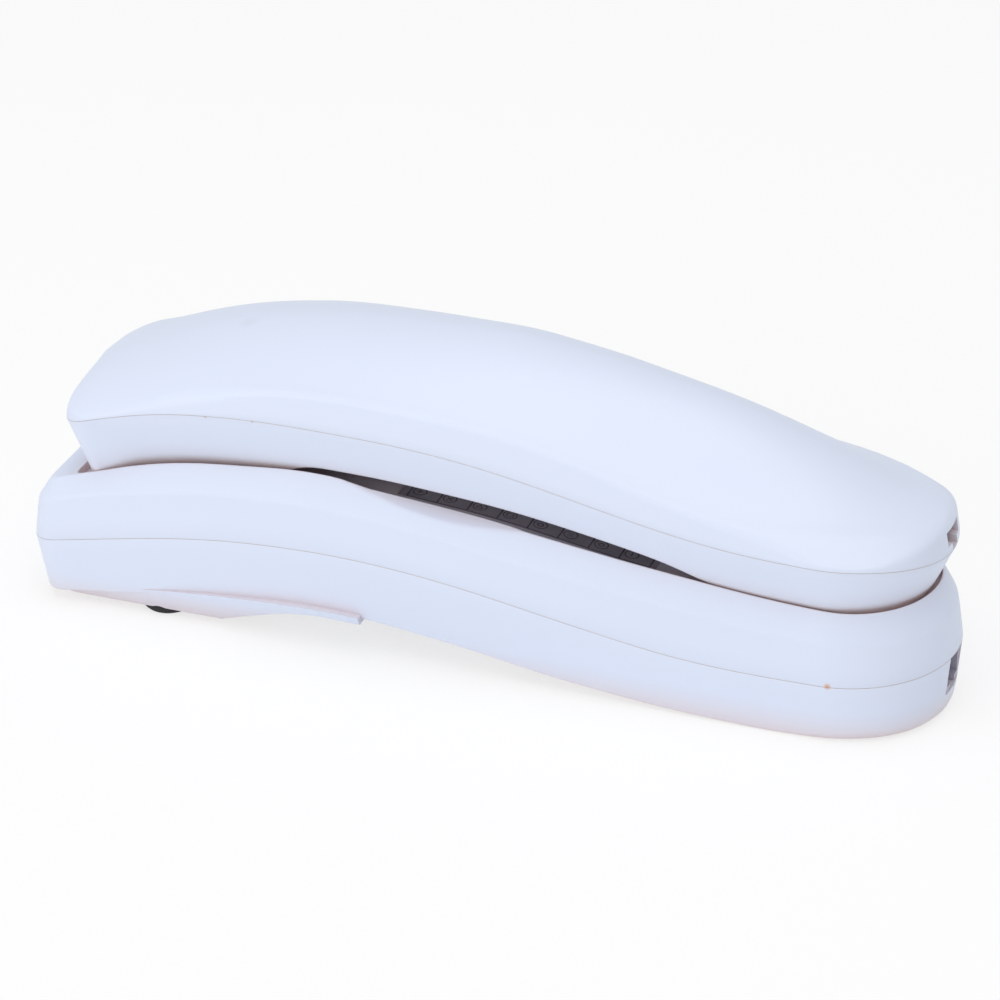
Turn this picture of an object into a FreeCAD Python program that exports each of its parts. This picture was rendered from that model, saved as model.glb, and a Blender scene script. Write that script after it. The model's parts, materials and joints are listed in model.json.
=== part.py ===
"""Slimline telephone for desk or wall, handset on its cradle.

Millimetres.  +X runs along the phone toward the mouthpiece and cord end, +Z is up off the
desk, and the phone is symmetric about the XZ plane.  The origin is on the desk under the
middle of the base.  Every height curve is a smooth curve through stations given as
(share of the half length, height).
"""
import FreeCAD
import Part
import math
import os

V = FreeCAD.Vector

# base plan
base_length = 220.6
base_width = 52.0
base_corner_r = 8.0
base_wall = 2.2
lower_draft_deg = 9.0
upper_draft_deg = 7.5
rim_width = 3.4
rim_land = 0.4
end_roof_drop = 4.8

# handset plan
handset_length = 208.5
handset_nose_setback = 1.8
handset_width = 52.0
handset_corner_r = 8.6
handset_wall = 2.2
face_draft_deg = 24.0
face_end_draft_deg = 19.0
back_draft_deg = 9.0
parting_gap = 0.02

# side views, (share of half base length, height above the desk)
base_parting = [(-1.0, 16.6), (-0.87, 19.5), (-0.72, 22.8), (-0.56, 25.6), (-0.41, 26.9), (-0.27, 27.1),
                (-0.13, 26.2), (0.02, 24.2), (0.165, 21.5), (0.31, 18.8), (0.45, 16.6), (0.60, 15.6),
                (0.78, 15.6), (1.0, 15.7)]
base_shoulder = [(-1.0, 25.6), (-0.95, 27.2), (-0.87, 30.5), (-0.76, 33.2), (-0.61, 36.2), (-0.50, 37.5),
                 (-0.40, 38.0), (-0.29, 37.9), (-0.18, 37.0), (-0.08, 35.8), (0.02, 34.1), (0.15, 32.1),
                 (0.26, 30.6), (0.36, 29.3), (0.46, 28.1), (0.56, 26.9), (0.66, 26.0), (0.78, 25.5),
                 (1.0, 25.4)]
base_bottom = [(-1.0, 1.9), (-0.93, 3.2), (-0.82, 4.8), (-0.70, 6.9), (-0.57, 8.6), (-0.43, 9.9),
               (-0.30, 10.3), (-0.20, 9.7), (-0.10, 8.4), (0.0, 6.9), (0.10, 5.1), (0.20, 3.4),
               (0.30, 2.2), (0.40, 1.2), (0.52, 0.5), (0.65, 0.1), (0.78, 0.02), (1.0, 0.02)]
handset_parting = [(-0.95, 48.0), (-0.89, 49.6), (-0.84, 51.4), (-0.78, 53.4), (-0.69, 55.9),
                   (-0.56, 58.0), (-0.43, 58.9), (-0.29, 58.9), (-0.16, 58.5), (-0.03, 57.4),
                   (0.10, 55.4), (0.23, 52.6), (0.36, 49.6), (0.48, 47.2), (0.61, 45.5), (0.74, 44.9),
                   (0.83, 44.6), (0.87, 44.3), (0.905, 43.8), (0.935, 43.2), (0.96, 42.5),
                   (0.98, 41.7), (1.02, 40.6)]
back_shoulder = [(-0.95, 53.5), (-0.89, 55.0), (-0.82, 57.2), (-0.73, 60.5), (-0.62, 63.6),
                 (-0.51, 65.6), (-0.40, 66.8), (-0.29, 67.2), (-0.16, 67.0), (-0.05, 66.2), (0.05, 65.2),
                 (0.15, 63.2), (0.26, 60.3), (0.36, 57.1), (0.46, 54.3), (0.56, 52.2), (0.66, 51.2),
                 (0.76, 51.0), (0.85, 50.8), (0.92, 50.4), (0.955, 49.7), (0.98, 48.8), (1.02, 47.4)]
crown_rise = [(-0.95, 0.5), (-0.91, 1.7), (-0.86, 3.8), (-0.80, 5.6), (-0.72, 6.6), (-0.62, 6.8), (-0.47, 7.0),
              (-0.31, 7.5), (-0.13, 8.9), (0.05, 10.9), (0.19, 12.6), (0.32, 14.4), (0.46, 15.4),
              (0.58, 14.0), (0.68, 10.6), (0.78, 6.3), (0.87, 2.6), (0.95, 0.5), (1.02, 0.0)]
face_bottom = [(-0.95, 32.0), (-0.82, 32.4), (-0.66, 33.4), (-0.53, 34.8), (-0.46, 37.6), (-0.41, 42.2),
               (-0.36, 45.2), (-0.29, 45.9), (-0.18, 45.6), (-0.06, 44.7), (0.06, 43.7), (0.17, 42.3),
               (0.27, 40.6), (0.36, 38.8), (0.44, 36.6), (0.52, 33.2), (0.60, 30.5), (0.68, 29.8),
               (0.80, 29.8), (1.02, 29.8)]
rim_rise = [(-1.0, 3.6), (-0.90, 4.2), (-0.83, 4.5), (-0.78, 5.2), (-0.71, 5.9), (-0.60, 6.2), (-0.48, 6.4),
            (-0.40, 6.9), (-0.34, 7.1), (-0.20, 6.9), (0.20, 6.7), (0.38, 6.5), (0.60, 6.5), (0.75, 6.4),
            (1.0, 6.6)]
well_trough = [(-0.48, 35.2), (-0.42, 37.0), (-0.36, 38.6), (-0.29, 39.5), (-0.18, 39.0), (-0.06, 37.9),
               (0.06, 36.4), (0.17, 34.4), (0.27, 32.5), (0.36, 31.0), (0.44, 30.2), (0.52, 29.9)]

# crown of the handset back
taper_start = 52.0
taper_length = 54.8
taper_power = 2.4
crown_power_ear = 1.25
crown_power_mouth = 1.5
nose_drop = 32.0

# cradle well
well_end_inset = 12.0
well_corner_r = 2.2
well_draft_deg = 3.0
seat_gap = 0.4
trough_start_x = -45.0
trough_end_x = 54.0
trough_half_width = 14.8
trough_side_rise = 0.68
card_length = 62.5
card_width = 27.0
card_x = 11.7
card_recess = 0.9
card_thickness = 0.3
cover_thickness = 0.5
card_fit = 0.1

# finger scoops, one in each long side
scoop_start_x = -38.0
scoop_end_x = 22.0
scoop_depth = 2.1
scoop_lead = 0.4
scoop_slope = 0.45
scoop_reach = 7.0

# plinth and feet
plinth_start_x = -106.5
plinth_flat_end_x = -62.4
plinth_end_x = -25.5
plinth_half_width = 21.0
plinth_height = 1.5
plinth_arch = [(-0.57, 1.5), (-0.543, 2.5), (-0.517, 3.6), (-0.481, 5.05), (-0.441, 6.6), (-0.405, 7.9),
               (-0.367, 8.65), (-0.338, 9.05), (-0.306, 9.1), (-0.275, 8.95), (-0.22, 8.8)]
plinth_flare = 0.45
plinth_corner_r = 7.0
foot_r = 6.2
foot_pocket_depth = 0.8
foot_x = -78.5
foot_y = 15.0

# wall mounting, two keyhole slots in line
keyhole_spacing = 100.0
keyhole_x = -17.0
keyhole_length = 20.4
keyhole_slot_r = 2.2
keyhole_head_r = 4.6
wall_screw_height = 6.5

# keypad, every row square to the face under the grip
keypad_x = 3.5
key_rows = 5
key_cols = 3
key_row_pitch = 15.0
key_col_pitch = 11.5
key_length = 8.4
key_width = 9.0
key_corner_r = 1.6
key_edge = 0.5
key_proud = 1.6
key_clear = 0.3
key_flange = 0.9
key_flange_t = 1.0
key_flange_seat = 0.2
key_travel = 1.0
key_over_travel = 0.3
mat_thickness = 1.0
mat_margin = 4.5
mat_ledge_w = 1.2
film_thickness = 0.4

# speech board of the handset
hand_board_x = 3.5
hand_board_l = 92.0
hand_board_w = 26.0
hand_board_t = 1.6
hand_board_rise = 9.8
hand_post_x = 42.5
hand_post_y = 10.0
post_r = 2.2

# receiver and microphone
receiver_x = -76.0
receiver_r = 12.2
receiver_depth = 8.5
receiver_seat_rise = 3.6
gasket_t = 1.0
gasket_w = 2.6
receiver_ring_t = 1.2
receiver_ring_h = 4.5
receiver_fit = 0.1
grille_hole_r = 0.8
grille_rings = [(3.5, 6), (7.0, 12)]
microphone_x = 86.0
microphone_r = 4.9
microphone_depth = 6.0
boot_t = 1.4
boot_floor_t = 1.0
boot_hole_r = 4.0
mic_ring_t = 1.0
mic_ring_h = 3.0
mic_hole_r = 0.8
mic_hole_pitch = 3.2
mic_seat_lift = 0.03

# handset jack in the nose
jack_opening_w = 8.2
jack_opening_h = 3.4
jack_sill = 1.7
jack_latch_w = 3.6
jack_sill_z = 43.4
handset_jack_w = 11.0
handset_jack_l = 11.6
handset_jack_drop = 3.6
handset_jack_lid = 0.8
jack_cavity_l = 10.0
jack_nose_gap = 2.1
jack_pocket_fit = 0.15
jack_shelf_l = 7.0
jack_shelf_w = 8.0

# cord jack in the base end
cord_opening_w = 10.2
cord_opening_h = 9.8
cord_jack_w = 13.0
cord_jack_l = 11.2
cord_snout_w = 9.8
cord_cavity_w = 8.2
cord_cavity_h = 6.8
cord_cavity_l = 12.0
cord_latch_h = 1.6
cord_jack_x = 93.4
cord_jack_top = 15.2
cord_jack_reach = 109.0

# line jack in a pocket of the underside
line_pocket_l = 18.0
line_pocket_w = 15.0
line_pocket_top = 20.4
line_pocket_wall = 2.2
line_jack_l = 14.0
line_jack_w = 13.0
line_jack_h = 9.0
line_jack_floor = 0.8
line_seat_low = 10.0
line_cavity_w = 10.0
line_cavity_h = 6.8

# hook switch
plunger_x = 70.0
plunger_r = 3.5
plunger_fit = 0.15
plunger_travel = 3.0
plunger_gap = 0.3
plunger_flange_r = 5.2
plunger_flange_t = 1.2
plunger_stem_r = 1.8
leaf_rise = 1.0
leaf_t = 0.3
hook_switch_l = 12.8
hook_switch_w = 7.0
hook_switch_h = 6.0

# base board
base_board_x0 = 21.0
base_board_x1 = 93.0
base_board_w = 36.0
base_board_t = 1.6
base_board_z = 8.0
base_post_x = [27.0, 87.0]
base_post_y = 14.0

# ringer, its switch and the switch knob in the far side wall
ringer_x = -67.0
ringer_r = 13.0
ringer_h = 4.0
ringer_z = 12.0
ringer_ring_t = 1.8
ringer_hole_r = 0.9
ringer_hole_ring_r = 8.6
ringer_knob_x = -93.0
ringer_knob_z = 13.0
ringer_knob_l = 5.0
ringer_knob_h = 3.0
ringer_knob_proud = 1.0
ringer_travel = 3.0
ringer_slot_clear = 0.3
ringer_switch_l = 12.0
ringer_switch_w = 5.0
ringer_switch_h = 5.6

# derived
half = base_length / 2.0
base_r = base_width / 2.0
hand_r = handset_width / 2.0
base_x0 = -half
base_x1 = half
hand_x1 = half - handset_nose_setback
hand_x0 = hand_x1 - handset_length
tan_lower = math.tan(math.radians(lower_draft_deg))
tan_upper = math.tan(math.radians(upper_draft_deg))
tan_face = math.tan(math.radians(face_draft_deg))
tan_face_end = math.tan(math.radians(face_end_draft_deg))
tan_back = math.tan(math.radians(back_draft_deg))
tan_well = math.tan(math.radians(well_draft_deg))
shoulder_inset = 1.4
rim_inset = shoulder_inset + rim_width + rim_land
crease_inset = 1.4
pocket_split = 0.5
pocket_resume = 0.6
card_x0 = card_x - card_length / 2.0
card_x1 = card_x + card_length / 2.0
key_lift = key_flange_seat + handset_wall
mat_lift = key_lift + key_flange_t + key_travel + key_over_travel
keypad_half = (key_rows - 1) * key_row_pitch / 2.0 + key_length / 2.0 + mat_margin
mat_half_width = (key_cols - 1) * key_col_pitch / 2.0 + key_width / 2.0 + key_flange + 2 * mat_ledge_w
receiver_z = 33.0 + receiver_seat_rise
reach = 4.0
big = 80.0


class Curve:
    """Natural cubic through the stations, used for every side view line."""

    def __init__(self, stations):
        self.x = [s * half for s, z in stations]
        self.z = [z for s, z in stations]
        n = len(self.x)
        h = [self.x[i + 1] - self.x[i] for i in range(n - 1)]
        a = [0.0] * n
        c = [0.0] * n
        d = [0.0] * n
        for i in range(1, n - 1):
            rhs = 6.0 * ((self.z[i + 1] - self.z[i]) / h[i] - (self.z[i] - self.z[i - 1]) / h[i - 1])
            piv = 2.0 * (h[i - 1] + h[i]) - h[i - 1] * c[i - 1]
            c[i] = h[i] / piv
            d[i] = (rhs - h[i - 1] * d[i - 1]) / piv
        for i in range(n - 2, 0, -1):
            a[i] = d[i] - c[i] * a[i + 1]
        self.m = a
        self.h = h

    def __call__(self, x):
        xs = self.x
        if x <= xs[0]:
            return self.z[0]
        if x >= xs[-1]:
            return self.z[-1]
        i = 0
        while xs[i + 1] < x:
            i += 1
        h = self.h[i]
        p = (xs[i + 1] - x) / h
        q = (x - xs[i]) / h
        m0 = self.m[i]
        m1 = self.m[i + 1]
        return p * self.z[i] + q * self.z[i + 1] + ((p ** 3 - p) * m0 + (q ** 3 - q) * m1) * h * h / 6.0


part_base = Curve(base_parting)
shoulder_base = Curve(base_shoulder)
bottom_base = Curve(base_bottom)
part_hand = Curve(handset_parting)
shoulder_hand = Curve(back_shoulder)
crown_hand = Curve(crown_rise)
bottom_hand = Curve(face_bottom)
floor_well = Curve([(s, z - seat_gap) for s, z in face_bottom if s < -pocket_split]
                   + well_trough
                   + [(s, z - seat_gap) for s, z in face_bottom if s > pocket_resume])
arch_plinth = Curve(plinth_arch)
rise_rim = Curve(rim_rise)


def blend(x, x0, x1):
    """0 before x0, 1 after x1, smooth between."""
    t = min(1.0, max(0.0, (x - x0) / (x1 - x0)))
    return t * t * (3.0 - 2.0 * t)


def rim_top(x):
    """Height of the inner edge of the base rim."""
    return shoulder_base(x) + rise_rim(x)


def roof_line(x):
    """Inside of the upper shell, lower under the sloping land at the earpiece end."""
    return floor_well(x) - base_wall - end_roof_drop * (1.0 - blend(x, base_x0, base_x0 + 14.0))


def scoop_line(x):
    """Inner rim edge with the finger scoop taken off."""
    t = (x - scoop_start_x) / (scoop_end_x - scoop_start_x)
    dip = (scoop_depth + scoop_lead) * math.sin(math.pi * min(1.0, max(0.0, t))) ** 2 - scoop_lead
    return rim_top(x) - dip


def face_slope(x):
    """Lean of the handset face walls, less at the earpiece end."""
    return tan_face_end + (tan_face - tan_face_end) * blend(x, hand_x0 + 5.0, hand_x0 + 20.0)


def box(x0, x1, y0, y1, z0, z1):
    return Part.makeBox(x1 - x0, y1 - y0, z1 - z0, V(x0, y0, z0))


def cyl(r, h, x, y, z, axis=V(0, 0, 1)):
    return Part.makeCylinder(r, h, V(x, y, z), axis)


def line(a, b):
    return Part.makeLine(a, b)


def spline_edge(points):
    spline = Part.BSplineCurve()
    spline.interpolate(points)
    return spline.toShape()


def profile(curve, x0, x1, y, count):
    return [V(x0 + (x1 - x0) * i / count, y, curve(x0 + (x1 - x0) * i / count)) for i in range(count + 1)]


def slab(curve, dz, z_end, x0, x1, y0=-big, push=V(0, 2 * big, 0), count=30):
    """Everything between the curve moved by dz and the level z_end, pushed from y0."""
    pts = profile(lambda x: curve(x) + dz, x0, x1, y0, count)
    edges = [spline_edge(pts),
             line(pts[-1], V(x1, y0, z_end)),
             line(V(x1, y0, z_end), V(x0, y0, z_end)),
             line(V(x0, y0, z_end), pts[0])]
    return Part.Face(Part.Wire(edges)).extrude(push)


def sheet(curve, dz0, dz1, x0, x1, y0, y1, count=24):
    """Sheet that follows the curve between two offsets."""
    low = profile(lambda x: curve(x) + dz0, x0, x1, y0, count)
    high = profile(lambda x: curve(x) + dz1, x0, x1, y0, count)
    edges = [spline_edge(low), line(low[-1], high[-1]), spline_edge(high), line(high[0], low[0])]
    return Part.Face(Part.Wire(edges)).extrude(V(0, y1 - y0, 0))


def outline(x0, x1, r_nose, r_corner, steps=12):
    """Plan of a shell as runs of (x, y, normal): near side, nose, far side, two corners."""
    xc = x1 - r_nose
    xa = x0 + r_corner
    yc = r_nose - r_corner
    near = [(xa + (xc - xa) * i / steps, -r_nose, 0.0, -1.0) for i in range(steps + 1)]
    nose = [arc_point(xc, 0.0, r_nose, -90.0 + 180.0 * i / 16) for i in range(17)]
    far = [(x, r_nose, 0.0, 1.0) for x, y, nx, ny in reversed(near)]
    far_corner = [arc_point(xa, yc, r_corner, 90.0 + 15.0 * i) for i in range(7)]
    end = [(x0, yc, -1.0, 0.0), (x0, -yc, -1.0, 0.0)]
    near_corner = [arc_point(xa, -yc, r_corner, 180.0 + 15.0 * i) for i in range(7)]
    return [near, nose, far, far_corner, end, near_corner]


def arc_point(xc, yc, r, degrees):
    a = math.radians(degrees)
    return (xc + r * math.cos(a), yc + r * math.sin(a), math.cos(a), math.sin(a))


def ring_edges(runs, inset, level):
    """Closed run of edges: each plan point moved in by inset(x) and set at level(x)."""
    moved = []
    for run in runs:
        pts = []
        for x, y, nx, ny in run:
            d = inset(x)
            pts.append(V(x - nx * d, y - ny * d, level(x)))
        moved.append(pts)
    edges = []
    for i, pts in enumerate(moved):
        pts[-1] = moved[(i + 1) % len(moved)][0]
        if len(pts) == 2:
            edges.append(line(pts[0], pts[1]))
        else:
            edges.append(spline_edge(pts))
    return edges


def tapered(runs, curve, slope, z0, z1, inset=0.0):
    """Solid with walls that lean in by slope(x) per millimetre above the parting curve."""
    low = ring_edges(runs, lambda x: inset + slope(x) * (z0 - curve(x)), lambda x: z0)
    high = ring_edges(runs, lambda x: inset + slope(x) * (z1 - curve(x)), lambda x: z1)
    return Part.makeLoft([Part.Wire(low), Part.Wire(high)], True, True)


def rounded_block(x0, x1, half_width, r, z0, z1, flare=0.0):
    """Block with rounded corners at x0 and square ones at x1, wider by flare per millimetre up."""
    rings = []
    for z in (z0, z1):
        g = flare * (z - z0)
        a = x0 - g
        w = half_width + g
        runs = [arc_point(a + r, -(w - r), r, 180.0 + 15.0 * i) for i in range(7)]
        near = [V(px, py, z) for px, py, nx, ny in runs]
        far = [V(p.x, -p.y, z) for p in reversed(near)]
        rings.append(Part.Wire([spline_edge(near), line(near[-1], V(x1, -w, z)),
                                line(V(x1, -w, z), V(x1, w, z)), line(V(x1, w, z), far[0]),
                                spline_edge(far), line(far[-1], near[0])]))
    return Part.makeLoft(rings, True, True)


def crease_half_width(x):
    side = hand_r - crease_inset
    if x <= taper_start:
        return side
    s = (x - taper_start) / taper_length
    if s >= 1.0:
        return 0.0
    return side * math.sqrt(1.0 - s ** taper_power)


def crown_height(x, y):
    """Height of the handset back: shoulder line, ogee crown, and a drop outside the nose line."""
    side = hand_r - crease_inset
    w = crease_half_width(x)
    z = shoulder_hand(x)
    t = abs(y) / w if w > 0.01 else 9.0
    share = min(1.0, max(0.0, (x + 60.0) / 100.0))
    power = crown_power_ear + (crown_power_mouth - crown_power_ear) * share
    if t < 1.0:
        z += crown_hand(x) * (1.0 - t * t) ** power
    s = max(0.0, (x - taper_start) / taper_length)
    e = math.sqrt(s ** taper_power + (y / side) ** 2) - 1.0
    soft = 0.03
    return z - nose_drop * 0.5 * (math.sqrt(e * e + soft * soft) + e)


def crown_solid(dz):
    """Everything under the handset back, moved by dz."""
    grid = []
    nx = 56
    ny = 28
    x0 = hand_x0 - reach
    x1 = hand_x1 + reach
    for i in range(nx + 1):
        x = x0 + (x1 - x0) * i / nx
        grid.append([V(x, -30.0 + 60.0 * j / ny, crown_height(x, -30.0 + 60.0 * j / ny) + dz)
                     for j in range(ny + 1)])
    surf = Part.BSplineSurface()
    surf.interpolate(grid)
    return surf.toShape().extrude(V(0, 0, -70.0))


def over_hand(curve, dz, z_end, count=60):
    return slab(curve, dz, z_end, hand_x0 - reach, hand_x1 + reach, count=count)


def over_base(curve, dz, z_end, count=60):
    return slab(curve, dz, z_end, base_x0 - reach, base_x1 + reach, count=count)


hand_runs = outline(hand_x0, hand_x1, hand_r, handset_corner_r)
hand_inner_runs = outline(hand_x0 + handset_wall, hand_x1 - handset_wall, hand_r - handset_wall,
                          handset_corner_r)
base_runs = outline(base_x0, base_x1, base_r, base_corner_r)


def key_places():
    """Centre of each key on the face, row by row from the earpiece end."""
    places = []
    for row in range(key_rows):
        for col in range(key_cols):
            x = keypad_x + (row - (key_rows - 1) / 2.0) * key_row_pitch
            y = ((key_cols - 1) / 2.0 - col) * key_col_pitch
            places.append((x, y))
    return places


def on_face(shape, x, y):
    """Put a shape made at the origin square on the handset face at (x, y)."""
    rise = bottom_hand(x + 1.0) - bottom_hand(x - 1.0)
    tilt = math.degrees(math.atan2(rise, 2.0))
    placed = shape.copy()
    placed.rotate(V(0, 0, 0), V(0, -1, 0), tilt)
    placed.translate(V(x, y, bottom_hand(x)))
    return placed


def rounded_plate(length, width, r, z0, z1):
    plate = box(-length / 2.0, length / 2.0, -width / 2.0, width / 2.0, z0, z1)
    upright = [e for e in plate.Edges if abs(e.Vertexes[0].X - e.Vertexes[1].X) < 0.01
               and abs(e.Vertexes[0].Y - e.Vertexes[1].Y) < 0.01]
    return plate.makeFillet(r, upright)


def key(x, y):
    cap = rounded_plate(key_length, key_width, key_corner_r, -key_proud, key_lift)
    front = [e for e in cap.Edges if e.BoundBox.ZMax < -key_proud + 0.01]
    cap = cap.makeChamfer(key_edge, front)
    flange = rounded_plate(key_length + 2 * key_flange, key_width + 2 * key_flange, key_corner_r,
                           key_lift, key_lift + key_flange_t)
    return on_face(cap.fuse(flange), x, y)


def hand_board_place(shape):
    """Level of the speech board, along the chord of the keypad."""
    x0 = hand_board_x - hand_board_l / 2.0
    x1 = hand_board_x + hand_board_l / 2.0
    rise = bottom_hand(keypad_x + 30.0) - bottom_hand(keypad_x - 30.0)
    tilt = math.degrees(math.atan2(rise, 60.0))
    placed = shape.copy()
    placed.rotate(V(0, 0, 0), V(0, -1, 0), tilt)
    placed.translate(V((x0 + x1) / 2.0, 0, bottom_hand(keypad_x) + hand_board_rise))
    return placed


def handset_back():
    back = tapered(hand_runs, part_hand, lambda x: tan_back, 36.0, 82.0)
    back = back.common(over_hand(part_hand, parting_gap, 120.0))
    back = back.common(crown_solid(0.0))
    hollow = tapered(hand_runs, part_hand, lambda x: tan_back, 34.0, 82.0, handset_wall)
    hollow = hollow.common(crown_solid(-handset_wall - 0.3))
    back = back.cut(hollow)
    back = back.cut(jack_block(jack_pocket_fit))
    return back.cut(jack_way(handset_jack_x1() - 0.5, hand_x1 + reach, 0.0))


def handset_jack_x1():
    return hand_x1 - handset_wall - jack_nose_gap


def jack_block(grow):
    x1 = handset_jack_x1()
    w = handset_jack_w / 2.0 + grow
    low = jack_sill_z - handset_jack_drop
    high = jack_sill_z + jack_opening_h + handset_jack_lid
    return box(x1 - handset_jack_l - grow, x1 + grow, -w, w, low - grow, high + grow)


def jack_way(x0, x1, grow):
    """The plug's way in: a wide slot over a narrow latch step."""
    w = jack_opening_w / 2.0 + grow
    v = jack_latch_w / 2.0 + grow
    wide = box(x0, x1, -w, w, jack_sill_z, jack_sill_z + jack_opening_h)
    return wide.fuse(box(x0, x1, -v, v, jack_sill_z - jack_sill, jack_sill_z + 0.1))


def handset_jack():
    x1 = handset_jack_x1()
    return jack_block(0.0).cut(jack_way(x1 - jack_cavity_l, x1 + reach, -0.2))


def handset_face():
    face = tapered(hand_runs, part_hand, lambda x: -face_slope(x), 29.0, 62.0)
    face = face.common(over_hand(part_hand, -parting_gap, 0.0))
    face = face.common(over_hand(bottom_hand, 0.0, 120.0))
    hollow = tapered(hand_inner_runs, part_hand, lambda x: -face_slope(x), 31.6, 63.0)
    hollow = hollow.common(over_hand(bottom_hand, handset_wall, 120.0))
    face = face.cut(hollow)
    inside = tapered(hand_inner_runs, part_hand, lambda x: -face_slope(x), 31.6, 63.0)
    inside = inside.common(over_hand(bottom_hand, handset_wall / 2.0, 120.0))
    return add_face_details(face, inside)


def add_face_details(face, inside):
    top = receiver_z + receiver_ring_h
    outer = receiver_r + receiver_fit + receiver_ring_t
    boss = cyl(outer, top - 30.0, receiver_x, 0, 30.0)
    boss = boss.cut(cyl(receiver_r + receiver_fit, big, receiver_x, 0, receiver_z))
    boss = boss.cut(cyl(receiver_r - gasket_w, big, receiver_x, 0, 30.0))
    face = face.fuse(boss.common(inside))
    mic_floor = bottom_hand(microphone_x) + handset_wall
    mic_r = microphone_r + boot_t
    ring = cyl(mic_r + mic_ring_t, mic_ring_h + 1.0, microphone_x, 0, mic_floor - 1.0)
    ring = ring.cut(cyl(mic_r, big, microphone_x, 0, mic_floor - 2.0))
    face = face.fuse(ring.common(inside))
    for side in (-1, 1):
        y = side * (mat_half_width - mat_ledge_w / 2.0)
        ledge = sheet(bottom_hand, 1.0, mat_lift, keypad_x - keypad_half, keypad_x + keypad_half,
                      y - mat_ledge_w / 2.0, y + mat_ledge_w / 2.0)
        face = face.fuse(ledge.common(inside))
        for x in (-hand_post_x, hand_post_x):
            post = cyl(post_r, 40.0, x, side * hand_post_y, -40.0)
            face = face.fuse(hand_board_place(post).common(inside))
    x1 = handset_jack_x1()
    shelf = box(x1 - jack_shelf_l, x1 - 1.0, -jack_shelf_w / 2.0, jack_shelf_w / 2.0, 30.0,
                jack_sill_z - handset_jack_drop)
    face = face.fuse(shelf.common(inside))
    for x, y in key_places():
        hole = rounded_plate(key_length + 2 * key_clear, key_width + 2 * key_clear,
                             key_corner_r + key_clear, -3.0, 3.4)
        face = face.cut(on_face(hole, x, y))
    face = face.cut(cyl(grille_hole_r, 12.0, receiver_x, 0, 25.0))
    for r, count in grille_rings:
        for i in range(count):
            a = 2 * math.pi * i / count
            face = face.cut(cyl(grille_hole_r, 12.0, receiver_x + r * math.cos(a), r * math.sin(a), 25.0))
    for i in (-1, 0, 1):
        face = face.cut(cyl(mic_hole_r, 8.0, microphone_x, i * mic_hole_pitch, 26.0))
    return face


def key_mat():
    return sheet(bottom_hand, mat_lift, mat_lift + mat_thickness, keypad_x - keypad_half,
                 keypad_x + keypad_half, -mat_half_width, mat_half_width)


def keypad_film():
    lift = mat_lift + mat_thickness
    return sheet(bottom_hand, lift, lift + film_thickness, keypad_x - keypad_half + 1.0,
                 keypad_x + keypad_half - 1.0, -mat_half_width + 1.0, mat_half_width - 1.0)


def handset_board():
    plate = box(-hand_board_l / 2.0, hand_board_l / 2.0, -hand_board_w / 2.0, hand_board_w / 2.0,
                0.0, hand_board_t)
    return hand_board_place(plate)


def receiver_gasket():
    ring = cyl(receiver_r, gasket_t, receiver_x, 0, receiver_z)
    return ring.cut(cyl(receiver_r - gasket_w, gasket_t, receiver_x, 0, receiver_z))


def receiver():
    z = receiver_z + gasket_t
    can = cyl(receiver_r, receiver_depth - 2.0, receiver_x, 0, z)
    return can.fuse(cyl(receiver_r - 3.0, 2.0, receiver_x, 0, z + receiver_depth - 2.0))


def microphone_boot():
    z = bottom_hand(microphone_x) + handset_wall + mic_seat_lift
    boot = cyl(microphone_r + boot_t, boot_floor_t + microphone_depth - 1.0, microphone_x, 0, z)
    boot = boot.cut(cyl(microphone_r, big, microphone_x, 0, z + boot_floor_t))
    return boot.cut(cyl(boot_hole_r, big, microphone_x, 0, z - 1.0))


def microphone():
    z = bottom_hand(microphone_x) + handset_wall + mic_seat_lift + boot_floor_t
    return cyl(microphone_r, microphone_depth, microphone_x, 0, z)


def plinth(inset):
    """Moulded plinth under the earpiece end, moved in by inset."""
    block = rounded_block(plinth_start_x + inset, plinth_end_x - inset, plinth_half_width - inset,
                          plinth_corner_r - inset, plinth_height, plinth_height + 12.0, plinth_flare)
    block = block.common(over_base(bottom_base, base_wall / 2.0 + inset, -10.0))
    flat = box(plinth_start_x - 9.0, plinth_flat_end_x, -30, 30, plinth_height + inset, 20.0)
    arch = slab(arch_plinth, inset, 20.0, plinth_flat_end_x, plinth_end_x, -30.0, V(0, 60.0, 0))
    return block.common(flat.fuse(arch))


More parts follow.
